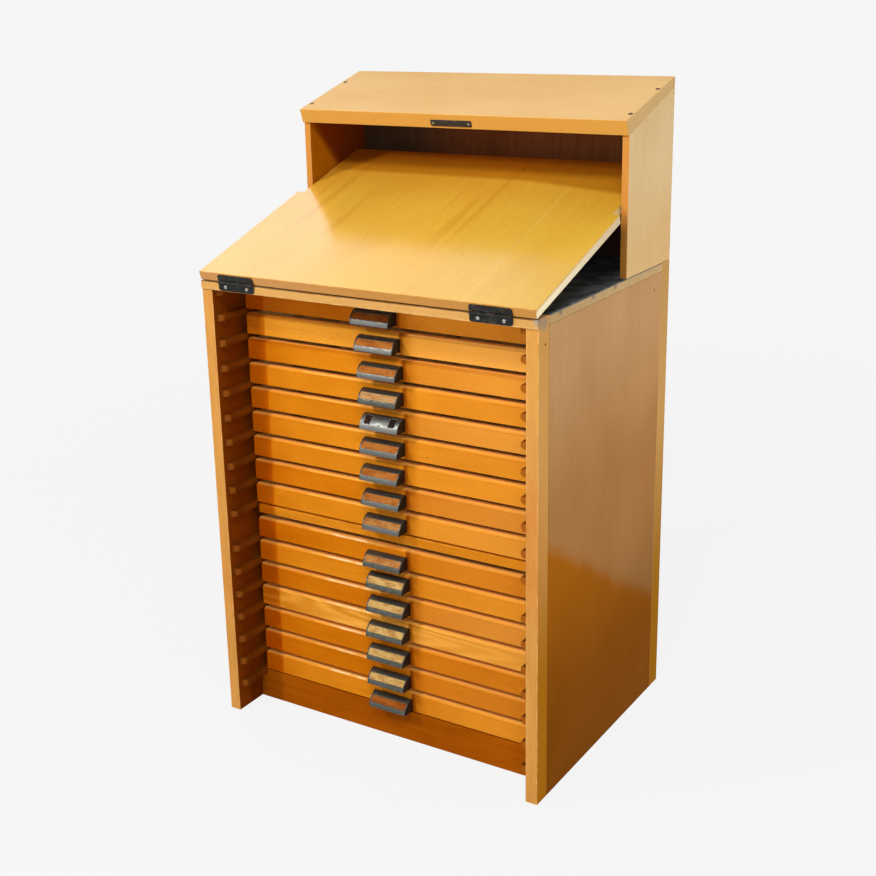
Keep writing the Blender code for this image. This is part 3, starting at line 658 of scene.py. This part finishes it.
# Desk lid: one wide board of golden beech under a glossy varnish, its grain running up the slope,
# its rear narrowed to pass between the hutch's sides, where two dark rests carry it.
HINGE_AXIS = (0, -0.271238, 0.8905)
LID_SLOPE = math.radians(18.1)
LID_BOX = ((-0.349, 0.0032, 0.0003), (0.349, 0.53855, 0.0173))
LID_END = 0.3482
LID_NARROW_END = (0.3340, 0.3356)
lid = beech(
    "varnish_lid",
    (("TEXTURE", HINGE_AXIS, (LID_SLOPE, 0, 0)), *FORE_AND_AFT),
    tone(234, 184, 68),
    tone(220, 167, 52),
    16.3,
    figure=0.15,
    blotch=0.5,
    streak=0.35,
    roughness=0.4,
    specular=0.02,
    coat=1.0,
    coat_roughness=0.18,
)
lid.shader.inputs["Coat IOR"].default_value = 1.6
feeds = {"Vector": lid.place, "Location": HINGE_AXIS, "Rotation": (LID_SLOPE, 0, 0)}
on_lid = put(lid.tree, "ShaderNodeMapping", feeds, vector_type="TEXTURE").outputs[0]
lid_x, lid_y, lid_z = put(lid.tree, "ShaderNodeSeparateXYZ", {0: on_lid}).outputs
lid.polished(lid.fade(lid_x, -0.22, 0.04, 1.0, 0.62))
pale_streak = lid.between(lid_x, 0.2055, 0.2165, 0.0008)
lid.lay(pale_streak, tone(246, 202, 112), 0.2)
streaks = lid.fade(cloud(lid.tree, on_lid, (42, 1.8, 42), 3.0), 0.56, 0.72)
lid.lay(lid.both(streaks, lid.fade(lid_y, 0.10, 0.26)), tone(202, 134, 30), 0.4)
# Painted shadow and shade: the lid is stained darker where the hutch's roof shades it, along a
# line that curves down at the right and less at the left, and it darkens gradually up the slope.
curve = lid.work_out("MAXIMUM", lid.work_out("SUBTRACT", lid_x, 0.12), 0.0)
up_the_lid = lid.work_out("MULTIPLY_ADD", curve, 0.15, lid_y)
less_at_the_left = lid.fade(lid_x, -0.31, -0.24, 0.85, 1.0)
under_the_hutch = lid.both(lid.fade(up_the_lid, 0.432, 0.451), less_at_the_left)
lid.stain(under_the_hutch, tone(218, 196, 146))
lid.stain(lid.fade(up_the_lid, 0.30, 0.44), tone(246, 236, 214))
lid.stain(lid.fade(lid_x, 0.02, 0.20), tone(247, 252, 255))
# Painted shade: darker again at the rear, under the hutch.
lid.stain(lid.fade(lid_y, 0.455, 0.515), tone(235, 209, 172))
front_face = lid.between(lid_y, -1.0, 0.0042, 0.0004)
lid.lay(front_face, tone(191, 129, 52), 0.9)
lid_aside = lid.work_out("ABSOLUTE", lid_x)
end_face = lid.between(lid_aside, LID_END, 1.0, 0.0003)
end_face = lid.both(end_face, lid.between(lid_z, -1.0, 0.0128, 0.0015))
# The end faces are laid pale and darken towards the rear as painted shade.
end_tone = lid.tinted(lid.fade(lid_y, 0.05, 0.32), tone(252, 236, 180), tone(204, 172, 106))
lid.lay(end_face, end_tone, 0.85)
# Painted light: the side faces of the narrowed rear are laid pale, as if lit.
narrow_end = lid.both(lid.between(lid_aside, *LID_NARROW_END), lid.between(lid_y, 0.3356, 1.0))
narrow_end = lid.both(narrow_end, lid.between(lid_z, -1.0, 0.0160, 0.0005))
lid.lay(narrow_end, tone(244, 220, 150))
lid.lay(lid.edges(on_lid, LID_BOX, 0.0015), tone(244, 204, 136), 0.4)
lid.knocked(24.0, SPECK, 0.6)
dress("desk_lid", lid)
pale, deep = tone(150, 88, 40), tone(108, 58, 24)
rests = beech("bare_rests", FORE_AND_AFT, pale, deep, 17.1, figure=0.2, blotch=0.5, roughness=0.6)
dress("lid_rest_left", rests)
dress("lid_rest_right", rests)


# Hinges: two black iron butt hinges across the joint under the lid's front edge, with loose steel
# pins. Each leaf is held by two slotted screws, the lower ones worn bright.
japan = spotted(
    "black_japan",
    tone(16, 16, 15),
    tone(52, 52, 48),
    90,
    (0.52, 0.70),
    (0.36, 0.6),
    detail=5.0,
    relief=(0.0002, 0.2),
    roughness=0.42,
    specular=0.25,
)
pin_steel = spotted(
    "pin_steel",
    tone(150, 148, 142),
    tone(84, 78, 70),
    400,
    (0.4, 0.7),
    (0.26, 0.55),
    roughness=0.3,
    metallic=1.0,
)
LID_FRAME = Matrix.Translation(HINGE_AXIS) @ Matrix.Rotation(LID_SLOPE, 4, "X")
FACING_FRONT = Matrix.Rotation(math.pi / 2, 4, "X")
HINGES = {"left": -0.265, "right": 0.265}
HINGE_SCREWS = ((-0.0245, 0.7), (0.0245, 2.6))
hinge_screw = slotted_screw(0.0032, 0.0008)
for side, middle in HINGES.items():
    dress(f"{side}_hinge_lower_leaf", japan)
    dress(f"{side}_hinge_upper_leaf", japan)
    dress(f"{side}_hinge_pin", pin_steel)
    lower = []
    upper = []
    for offset, turn in HINGE_SCREWS:
        spin = FACING_FRONT @ Matrix.Rotation(turn + middle, 4, "Z")
        lower.append(Matrix.Translation((middle + offset, -0.270208, 0.8826)) @ spin)
        upper.append(LID_FRAME @ Matrix.Translation((middle + offset, 0.00133, 0.0095)) @ spin)
    lower_screws = repeated(hinge_screw, lower)
    set_in(f"{side}_lower_hinge_screws", lower_screws, steel, "cabinet")
    upper_screws = repeated(hinge_screw, upper)
    set_in(f"{side}_upper_hinge_screws", upper_screws, iron, "lid")


# Type cases: shallow trays with a varnished front whose upper edge is chamfered, and bare sides,
# rear and bottom. Thin strips halved together divide the inside for the type.
CASE_FRONT_Y = -0.191338
FRONT_HEIGHT = 0.0395
FRONT_THICKNESS = 0.017
CHAMFER = 0.004
SHADED = (tone(234, 148, 40), tone(218, 130, 28))
HONEY = (tone(240, 163, 54), tone(222, 146, 42))
AMBER = (tone(225, 141, 30), tone(207, 123, 18))
TAWNY = (tone(216, 131, 22), tone(198, 113, 12))
RUSSET = (tone(208, 119, 13), tone(190, 103, 4))
FIGURED = (tone(240, 170, 68), tone(212, 136, 36))
FRONT_TONES = {
    1: SHADED,
    2: HONEY,
    3: TAWNY,
    5: TAWNY,
    8: RUSSET,
    10: RUSSET,
    12: RUSSET,
    13: FIGURED,
    14: RUSSET,
    15: RUSSET,
}
# Painted sheen: the share of a paler tone laid on the right of each front, row by row.
PAINTED_SHEEN = {2: 0.8, 3: 0.4, 5: 0.45, 8: 0.35, 9: 0.35, 12: 0.4, 13: 0.4, 14: 0.1, 15: 0.15}
SHADED_ROWS = 3
FIGURED_ROW = 13
PULL_WIDTH = 0.086
USUAL_PLACE = (-0.0015, 0.0040)
PULL_PLACES = {
    1: (-0.0125, 0.0040),
    2: (-0.0060, 0.0050),
    5: (0.0005, 0.0050),
    6: (-0.0015, 0.0070),
    7: (-0.0035, 0.0036),
    10: (-0.0030, 0.0020),
    11: (0.0015, 0.0085),
    12: (0.0010, 0.0077),
    15: (-0.0015, 0.0010),
    16: (0.0007, 0.0014),
}
# Painted shadow beside each pull: two reaches to the right of it, each with its darkening tone.
PULL_SHADOWS = ((0.008, 0.036, tone(228, 215, 179)), (0.002, 0.010, tone(196, 170, 137)))
for number, floor in enumerate(CASE_FLOORS, 1):
    in_upper_stack = number <= len(UPPER_FLOORS)
    pale, deep = FRONT_TONES.get(number, AMBER)
    front = beech(
        f"varnish_case_{number:02d}",
        ACROSS,
        pale,
        deep,
        18.0 + 1.37 * number,
        figure=1.8 if number == FIGURED_ROW else 0.15 + 0.1 * (number % 4),
        blotch=0.8,
        streak=0.5,
        roughness=0.44,
    )
    # Painted sheen: the right of each front is laid paler.
    to_the_right = front.fade(front.x, -0.10, 0.25)
    front.lay(to_the_right, tone(240, 170, 76), PAINTED_SHEEN.get(number, 0.15))
    paint_left_wall_shadow(front)
    # Painted shade: the fronts also darken softly towards the left wall.
    front.stain(front.fade(front.x, -0.262, -0.190, 1.0, 0.0), tone(243, 232, 205))
    # Painted shadow: the first front is darker at its left, in the shade of the top.
    if number == 1:
        front.stain(front.fade(front.x, -0.12, 0.12, 1.0, 0.0), tone(226, 204, 160))
    pull_end = PULL_PLACES.get(number, USUAL_PLACE)[0] + PULL_WIDTH / 2
    beside = front.work_out("SUBTRACT", front.x, pull_end)
    past_the_pull = front.fade(beside, -0.006, 0.0)
    # Painted shadow of the pull: the wood just right of each pull is stained darker.
    for near, far, grime_and_shadow in PULL_SHADOWS:
        front.stain(front.both(past_the_pull, front.fade(beside, near, far, 1.0, 0.0)), grime_and_shadow)
    front.knocked(34.0, tone(120, 52, 8), 0.7)
    top = floor + FRONT_HEIGHT
    chamfer_foot = top - CHAMFER
    at_front = front.between(front.y, -1.0, CASE_FRONT_Y + CHAMFER, 0.0003)
    upper = front.between(front.z, top - 0.65 * CHAMFER, top + 0.001, 0.0003)
    upper = front.both(at_front, upper)
    if number <= SHADED_ROWS:
        # Painted shade: in the rows under the top the chamfer is darkened.
        chamfer = front.between(front.z, chamfer_foot - 0.0006, top + 0.001, 0.0003)
        front.stain(front.both(at_front, chamfer), tone(228, 222, 214))
    else:
        # The chamfer is laid paler, partly wear and partly painted highlight, with a painted
        # highlight left of the pull.
        front.lay(upper, tone(248, 182, 84), 0.3)
        gleam = front.both(upper, front.between(front.x, -0.184, -0.010, 0.004))
        front.lay(gleam, tone(255, 200, 96), 0.45 if in_upper_stack else 0.3)
    if number == 2:
        # Painted highlight on the right of the second front's chamfer.
        gleam = front.both(upper, front.between(front.x, 0.050, 0.310, 0.004))
        front.lay(gleam, tone(250, 190, 100), 0.6)
    if not in_upper_stack:
        # Painted glints: near-white flecks on the chamfers left of the pulls in the lower stack.
        glint_span = front.between(front.x, -0.150, -0.048, 0.012)
        painted_glints = front.both(glint_span, front.patches((40, 200, 200), 0.35, 0.55))
        front.lay(front.both(upper, painted_glints), tone(255, 236, 190), 0.6)
    # Painted light: the top face behind the chamfer is laid pale, as if lit inside the gap.
    top_face = front.between(front.z, top - 0.0005, 1.0, 0.0002)
    top_face = front.both(top_face, front.between(front.y, CASE_FRONT_Y + CHAMFER, 1.0))
    front.lay(top_face, tone(255, 186, 96), 0.8)
    arris = front.between(front.z, chamfer_foot - 0.0018, chamfer_foot - 0.0008, 0.0003)
    arris = front.both(arris, front.patches((16, 200, 200), 0.30, 0.55))
    front.lay(front.both(arris, at_front), tone(150, 76, 14), 0.4)
    tray = front.between(front.y, CASE_FRONT_Y + FRONT_THICKNESS, 1.0, 0.0005)
    dusty = front.patches((14, 14, 40), 0.35, 0.7)
    front.lay(tray, front.tinted(dusty, tone(228, 174, 108), tone(198, 144, 80)), 0.95)
    dress(f"type_case_{number:02d}", front)

CASE_HALF = 0.300
LONG_STRIP_HALF = 0.2996
STRIP = 0.0032
STRIP_LOW = 0.0053
STRIP_HIGH = 0.0313
HALVING = 0.0004
FRONT_BAY = (0.017, 0.150, 6)
MIDDLE_BAY = (0.150, 0.292, 8)
REAR_BAY = (0.292, 0.436, 12)
lattice = bmesh.new()


def strip_of_wood(x_span, y_span):
    low = Vector((x_span[0], y_span[0], STRIP_LOW))
    high = Vector((x_span[1], y_span[1], STRIP_HIGH))
    stock = Matrix.LocRotScale((low + high) / 2, None, high - low)
    bmesh.ops.create_cube(lattice, size=1.0, matrix=stock)


def across(middle):
    """From one face of a strip to the other."""
    return (middle - STRIP / 2, middle + STRIP / 2)


for bay in (FRONT_BAY, MIDDLE_BAY, REAR_BAY):
    start, end, count = bay
    first = start + HALVING
    last = end - HALVING
    if bay != FRONT_BAY:
        strip_of_wood((-LONG_STRIP_HALF, LONG_STRIP_HALF), across(start))
        first += STRIP / 2
    if bay != REAR_BAY:
        last -= STRIP / 2
    step = 2 * CASE_HALF / (count + 1)
    for column in range(1, count + 1):
        strip_of_wood(across(column * step - CASE_HALF), (first, last))
    if bay == REAR_BAY:
        for column in range(count + 1):
            left = column * step - CASE_HALF
            reach = (left + STRIP / 2 + HALVING, left + step - STRIP / 2 - HALVING)
            strip_of_wood(reach, across((first + last) / 2))
round_off(lattice, lattice.edges[:], 0.0004, 1)
lattice_mesh = as_mesh("lattice", lattice)
pale, deep = tone(214, 152, 90), tone(176, 118, 66)
strips = beech("bare_dividers", ACROSS, pale, deep, 41.0, figure=0.1, blotch=0.6, roughness=0.6)
strips.lay(strips.patches((30, 30, 60), 0.5, 0.75), tone(96, 70, 50), 0.5)
for number, floor in enumerate(CASE_FLOORS, 1):
    shape = repeated(lattice_mesh, [Matrix.Translation((0, CASE_FRONT_Y, floor))])
    set_in(f"case_dividers_{number:02d}", shape, strips, f"case_{number:02d}")


# Pulls: quarter-round cups pressed from sheet steel, with a sunk bed for a card between an upper
# and a lower lip. The lower lip is rubbed bright, the ends are painted dark as shade and the rest
# is dark. The fifth is bare, with two punched squares.
LIP_WIDTH = 0.082
PULL_DEPTH = 0.0259
PULL_HEIGHT = 0.0245
PULL_WALL = 0.0016
PULL_BACK = -0.191638
PULL_EDGE = 0.0004
BED_HALF = 0.0408
BED_SINK = 0.0007
BED_TOP = math.radians(33.75)
BED_BOTTOM = math.radians(67.5)
HOLE_IN = 0.0206
HOLE_OUT = 0.0336
HOLE_TOP = math.radians(18.75)
HOLE_BOTTOM = math.radians(63.75)
BARE_PULL = 5


def on_the_front(number):
    """Where the pull of a case was fixed: a little to one side, a little up from its floor."""
    shift, lift = PULL_PLACES.get(number, USUAL_PLACE)
    return Matrix.Translation((shift, PULL_BACK, CASE_FLOORS[number - 1] + lift))


def drawn_in(shape):
    """The cup is a little narrower at its lip than where it meets the wood."""
    draw = (1 - LIP_WIDTH / PULL_WIDTH) / PULL_DEPTH
    for corner in shape.verts:
        corner.co.x *= 1 + draw * corner.co.y


def all_of(shape):
    return [*shape.verts, *shape.edges, *shape.faces]


def swing(point):
    """The angle of a point round the cup, 0 at its top edge, a quarter turn at its lower lip."""
    return math.atan2(-point.y / PULL_DEPTH, point.z / PULL_HEIGHT)


def rise(value, low, high):
    """Goes evenly from 0 to 1 while the value goes from low to high."""
    return min(max((value - low) / (high - low), 0.0), 1.0)


def cup(worn, punched=False):
    """A pull. Worn tells how bright its lower lip is, and punched gives it two square holes."""
    shape = bmesh.new()
    bmesh.ops.create_circle(shape, cap_ends=True, radius=1.0, segments=96)
    for away in ((1, 0, 0), (0, -1, 0)):
        kept_side = {"dist": 1e-6, "plane_co": (0, 0, 0), "plane_no": away, "clear_outer": True}
        bmesh.ops.bisect_plane(shape, geom=all_of(shape), **kept_side)
    stood = Matrix(((0, 0, 1, 0), (1, 0, 0, 0), (0, 1, 0, 0), (0, 0, 0, 1)))
    bmesh.ops.transform(shape, matrix=stood, verts=shape.verts)
    swept = bmesh.ops.extrude_face_region(shape, geom=all_of(shape), use_keep_orig=True)
    moved = [part for part in swept["geom"] if isinstance(part, bmesh.types.BMVert)]
    bmesh.ops.translate(shape, vec=(1, 0, 0), verts=moved)
    size = (PULL_WIDTH, PULL_DEPTH, PULL_HEIGHT)
    sized = Matrix.LocRotScale((-PULL_WIDTH / 2, 0, 0), None, size)
    bmesh.ops.transform(shape, matrix=sized, verts=shape.verts)
    bmesh.ops.recalc_face_normals(shape, faces=shape.faces[:])
    open_sides = [
        face
        for face in shape.faces
        if all(abs(corner.co.y) < 1e-6 for corner in face.verts)
        or all(abs(corner.co.z) < 1e-6 for corner in face.verts)
    ]
    bmesh.ops.delete(shape, geom=open_sides, context="FACES")
    cuts = [-BED_HALF, BED_HALF]
    if punched:
        cuts += [-HOLE_OUT, -HOLE_IN, HOLE_IN, HOLE_OUT]
    for x in cuts:
        bmesh.ops.bisect_plane(shape, geom=all_of(shape), plane_co=(x, 0, 0), plane_no=(1, 0, 0))
    bed = []
    holes = []
    for face in shape.faces:
        middle = face.calc_center_median()
        if abs(middle.x) < BED_HALF and BED_TOP < swing(middle) < BED_BOTTOM:
            bed.append(face)
        if HOLE_IN < abs(middle.x) < HOLE_OUT and HOLE_TOP < swing(middle) < HOLE_BOTTOM:
            holes.append(face)
    if punched:
        bmesh.ops.delete(shape, geom=holes, context="FACES")
    else:
        pressed = {"thickness": PULL_EDGE, "depth": -BED_SINK}
        bmesh.ops.inset_region(
            shape, faces=bed, use_boundary=True, use_even_offset=True, **pressed
        )
    bmesh.ops.solidify(shape, geom=shape.faces[:], thickness=PULL_WALL)
    sharp = [edge for edge in shape.edges if edge.is_manifold and edge.calc_face_angle() > 0.9]
    round_off(shape, sharp, PULL_EDGE, 2, clamp_overlap=True)
    rubbed = shape.verts.layers.float.new("rubbed")
    painted_shade = shape.verts.layers.float.new("painted_shade")
    for corner in shape.verts:
        angle = swing(corner.co)
        to_end = PULL_WIDTH / 2 - abs(corner.co.x)
        lip = rise(angle, BED_BOTTOM - 0.02, BED_BOTTOM + 0.02)
        bare = 0.5 if punched and angle > HOLE_TOP - 0.05 else 0.0
        corner[rubbed] = max(worn * lip, bare) * rise(to_end, 0.0, 0.0008)
        # The ends are marked for painted shade.
        corner[painted_shade] = 1.0 if to_end < PULL_EDGE / 2 else 0.0
    drawn_in(shape)
    return as_mesh("cup_punched" if punched else "cup", shape)


gunmetal = Finish("gunmetal", 0.38, metallic=0.9)
oxide = gunmetal.patches((120, 220, 220), 0.38, 0.68, 4.0)
gunmetal.base(gunmetal.tinted(oxide, tone(95, 97, 91), tone(76, 78, 72)))
rubbed = put(gunmetal.tree, "ShaderNodeAttribute", attribute_name="rubbed").outputs["Fac"]
thinning = gunmetal.patches((60, 160, 160), 0.20, 0.60)
bared = gunmetal.tinted(thinning, tone(120, 121, 120), tone(138, 138, 136))
gunmetal.lay(rubbed, bared, 0.9)
gunmetal.lay(gunmetal.patches((130, 130, 130), 0.64, 0.76), tone(104, 70, 46), 0.3)
# Painted shade: the marked ends of each cup are laid dark.
painted_shade = put(gunmetal.tree, "ShaderNodeAttribute", attribute_name="painted_shade").outputs["Fac"]
gunmetal.lay(painted_shade, tone(44, 41, 34), 0.8)
gunmetal.dulled(oxide, 0.0, 1.0, 0.40, 0.54)
gunmetal.raised(oxide, 0.00005, 0.15)
rubbed_cup = cup(0.75)
used_cup = cup(0.35)
dark_cup = cup(0.0)
CUPS = {1: rubbed_cup, 2: rubbed_cup, 3: used_cup, BARE_PULL: cup(0.75, punched=True)}
CUPS.update({number: used_cup for number in range(6, 10)})
for number in range(1, len(CASE_FLOORS) + 1):
    shape = repeated(CUPS.get(number, dark_cup), [on_the_front(number)])
    pull = set_in(f"cup_pull_{number:02d}", shape, gunmetal, f"case_{number:02d}")
    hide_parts(f"case_pull_{number:02d}")


# Cards: strips of thin card slipped into the beds of the pulls, bent to the cup, yellowed and
# thumbed. Their words are left off. A dark strip behind the holes of the bare pull is painted
# shade.
CARD = 0.0003
CARD_PLAY = 0.0007
CARD_SWING_PLAY = 0.02


def card_strip(top):
    """A card bent to the cup, from the angle of its upper edge down to the lower lip."""
    shape = bmesh.new()
    start = top + CARD_SWING_PLAY
    ends = [shape.verts.new((x, -math.sin(start), math.cos(start))) for x in (-1, 1)]
    edge = shape.edges.new(ends)
    bmesh.ops.subdivide_edges(shape, edges=[edge], cuts=11)
    bmesh.ops.spin(
        shape,
        geom=[*shape.verts, *shape.edges],
        cent=(0, 0, 0),
        axis=(1, 0, 0),
        angle=BED_BOTTOM - top - 2 * CARD_SWING_PLAY,
        steps=10,
        use_merge=False,
    )
    bmesh.ops.recalc_face_normals(shape, faces=shape.faces[:])
    size = (BED_HALF - CARD_PLAY, PULL_DEPTH - CARD, PULL_HEIGHT - CARD)
    sized = Matrix.LocRotScale(None, None, size)
    bmesh.ops.transform(shape, matrix=sized, verts=shape.verts)
    if sum(face.normal.y for face in shape.faces) > 0:
        bmesh.ops.reverse_faces(shape, faces=shape.faces[:])
    bmesh.ops.solidify(shape, geom=shape.faces[:], thickness=CARD)
    drawn_in(shape)
    return as_mesh("card_strip", shape)


def card(name, paper, stain, grime_and_shadow):
    finish = Finish(name, 0.7, specular=0.1)
    mottled = finish.patches((45, 90, 90), 0.40, 0.66, 4.0)
    finish.base(finish.tinted(mottled, paper, stain))
    finish.lay(finish.patches((160, 160, 160), 0.58, 0.74, 4.0), grime_and_shadow, 0.55)
    finish.lay(finish.patches((75, 330, 330), 0.52, 0.66, 4.0), tone(140, 72, 30), 0.45)
    finish.dulled(mottled, 0.0, 1.0, 0.6, 0.85)
    finish.raised(mottled, 0.0001, 0.3)
    return finish


brown_card = card("brown_card", tone(140, 78, 26), tone(116, 58, 16), tone(72, 40, 18))
orange_card = card("orange_card", tone(172, 106, 42), tone(152, 86, 30), tone(96, 60, 32))
beige_card = card("beige_card", tone(188, 144, 94), tone(166, 122, 74), tone(108, 78, 48))
yellow_card = card("yellow_card", tone(202, 165, 98), tone(182, 138, 76), tone(100, 78, 44))
russet_card = card("russet_card", tone(156, 84, 20), tone(134, 66, 12), tone(88, 48, 18))
tan_card = card("tan_card", tone(178, 124, 64), tone(158, 100, 48), tone(96, 66, 36))
CARDS = {1: brown_card, 4: beige_card, 9: tan_card, 10: tan_card, 16: russet_card}
CARDS.update({number: yellow_card for number in range(11, 16)})
strip_of_card = card_strip(BED_TOP)
for number in range(1, len(CASE_FLOORS) + 1):
    if number == BARE_PULL:
        continue
    paper = CARDS.get(number, orange_card)
    shape = repeated(strip_of_card, [on_the_front(number)])
    set_in(f"pull_card_{number:02d}", shape, paper, f"case_{number:02d}")
behind = Matrix.Diagonal((0.98, 0.90, 0.90, 1.0))
# Painted shade: a dark card behind the holes stands in for the shade inside the cup.
shade_backing = card("painted_shade_backing", tone(34, 28, 22), tone(22, 18, 14), tone(12, 10, 8))
shape = repeated(card_strip(HOLE_TOP - 0.08), [on_the_front(BARE_PULL) @ behind])
set_in("bare_pull_backing", shape, shade_backing, f"case_{BARE_PULL:02d}")


# Floor and light: a wide pale floor that keeps a faint shadow. A small key light at the front
# left, a strip high at the front right and a small fill by the camera. The lid's varnish mirrors
# a panel at the rear left, and a low panel lights the right wall.
FLOOR_HALF = 90.0
floor_shape = bmesh.new()
bmesh.ops.create_grid(floor_shape, x_segments=8, y_segments=8, size=FLOOR_HALF)
floor_mesh = as_mesh("floor", floor_shape)
floor_object = bpy.data.objects.new("floor", floor_mesh)
bpy.context.scene.collection.objects.link(floor_object)
floor_object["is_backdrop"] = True


def seen_directly(tree):
    """1 for rays from the camera, off glossy surfaces or through glass."""
    path = put(tree, "ShaderNodeLightPath").outputs
    reflected = work_out(tree, "MAXIMUM", path["Is Glossy Ray"], path["Is Transmission Ray"])
    return work_out(tree, "MAXIMUM", path["Is Camera Ray"], reflected)


def shown_or_lit(tree, shown, lit):
    """One look for what is seen directly, another for the light that it gives the cabinet."""
    feeds = {0: seen_directly(tree), 1: lit.outputs[0], 2: shown.outputs[0]}
    return put(tree, "ShaderNodeMixShader", feeds).outputs[0]


WHITE = (1, 1, 1, 1)
ground = bpy.data.materials.new("pale_floor")
ground.use_nodes = True
tree = ground.node_tree
tree.nodes.remove(tree.nodes["Principled BSDF"])
place = put(tree, "ShaderNodeTexCoord").outputs["Object"]
away = put(tree, "ShaderNodeVectorMath", {0: place}, operation="LENGTH").outputs["Value"]
brightness = fade(tree, away, 0.4, 4.5, 0.862, 0.906)
glow = put(tree, "ShaderNodeEmission", {"Color": WHITE, "Strength": brightness})
shadowed = put(tree, "ShaderNodeBsdfDiffuse", {"Color": (0.06, 0.06, 0.06, 1)})
shown = put(tree, "ShaderNodeAddShader", {0: glow.outputs[0], 1: shadowed.outputs[0]})
lit = put(tree, "ShaderNodeBsdfDiffuse", {"Color": (0.72, 0.71, 0.70, 1)})
surface = shown_or_lit(tree, shown, lit)
tree.links.new(surface, tree.nodes["Material Output"].inputs["Surface"])
floor_mesh.materials.append(ground)

world = bpy.data.worlds.new("studio")
world.use_nodes = True
bpy.context.scene.world = world
tree = world.node_tree
tree.nodes.clear()
fill = put(tree, "ShaderNodeBackground", {"Color": (1, 0.98, 0.95, 1), "Strength": 0.20})
backdrop = put(tree, "ShaderNodeBackground", {"Color": WHITE, "Strength": 0.922})
put(tree, "ShaderNodeOutputWorld", {"Surface": shown_or_lit(tree, backdrop, fill)})


def soft_light(name, place, target, width, height, power, colour=(1, 1, 1)):
    lamp = bpy.data.lights.new(name, "AREA")
    lamp.shape = "RECTANGLE"
    lamp.size = width
    lamp.size_y = height
    lamp.energy = power
    lamp.color = colour
    holder = bpy.data.objects.new(name, lamp)
    holder.location = place
    holder.rotation_euler = (Vector(target) - Vector(place)).to_track_quat("-Z", "Y").to_euler()
    holder.visible_camera = False
    bpy.context.scene.collection.objects.link(holder)


WARM = (1, 0.97, 0.92)
SLIGHTLY_WARM = (1, 0.98, 0.95)
soft_light("key", (-1.65, -2.15, 2.30), (0, -0.1, 0.8), 0.30, 0.30, 47, WARM)
soft_light("front_right", (0.9, -2.0, 2.95), (0, -0.1, 0.85), 1.6, 0.22, 46, SLIGHTLY_WARM)
soft_light("rear_left_panel", (-1.78, 1.05, 2.54), (0, -0.05, 1.0), 1.6, 1.6, 9)
soft_light("by_the_camera", (1.36, -2.23, 1.43), (0, 0, 0.65), 0.10, 0.10, 16, WARM)
soft_light("right_wall", (1.35, 0.98, 0.52), (0.35, 0, 0.5), 1.2, 1.0, 8)


# Camera: at standing height to the right of the front, turned a little down, with a long lens
# that is shifted so that the cabinet stands where the photo has it.
EYE = (1.3479, -2.2060, 1.4259)
HEADING = 0.5779
LOOKING_DOWN = 0.3051
TILT = -0.0272
camera = bpy.data.cameras.new("camera")
camera.sensor_width = 36.0
camera.lens = 57.53
camera.shift_x = 0.0426
camera.shift_y = -0.0293
viewer = bpy.data.objects.new("camera", camera)
turn = Matrix.Rotation(HEADING, 4, "Z") @ Matrix.Rotation(math.pi / 2 - LOOKING_DOWN, 4, "X")
viewer.matrix_world = Matrix.Translation(EYE) @ turn @ Matrix.Rotation(TILT, 4, "Z")
bpy.context.scene.collection.objects.link(viewer)
bpy.context.scene.camera = viewer
bpy.context.scene.view_settings.view_transform = "Standard"

low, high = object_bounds()
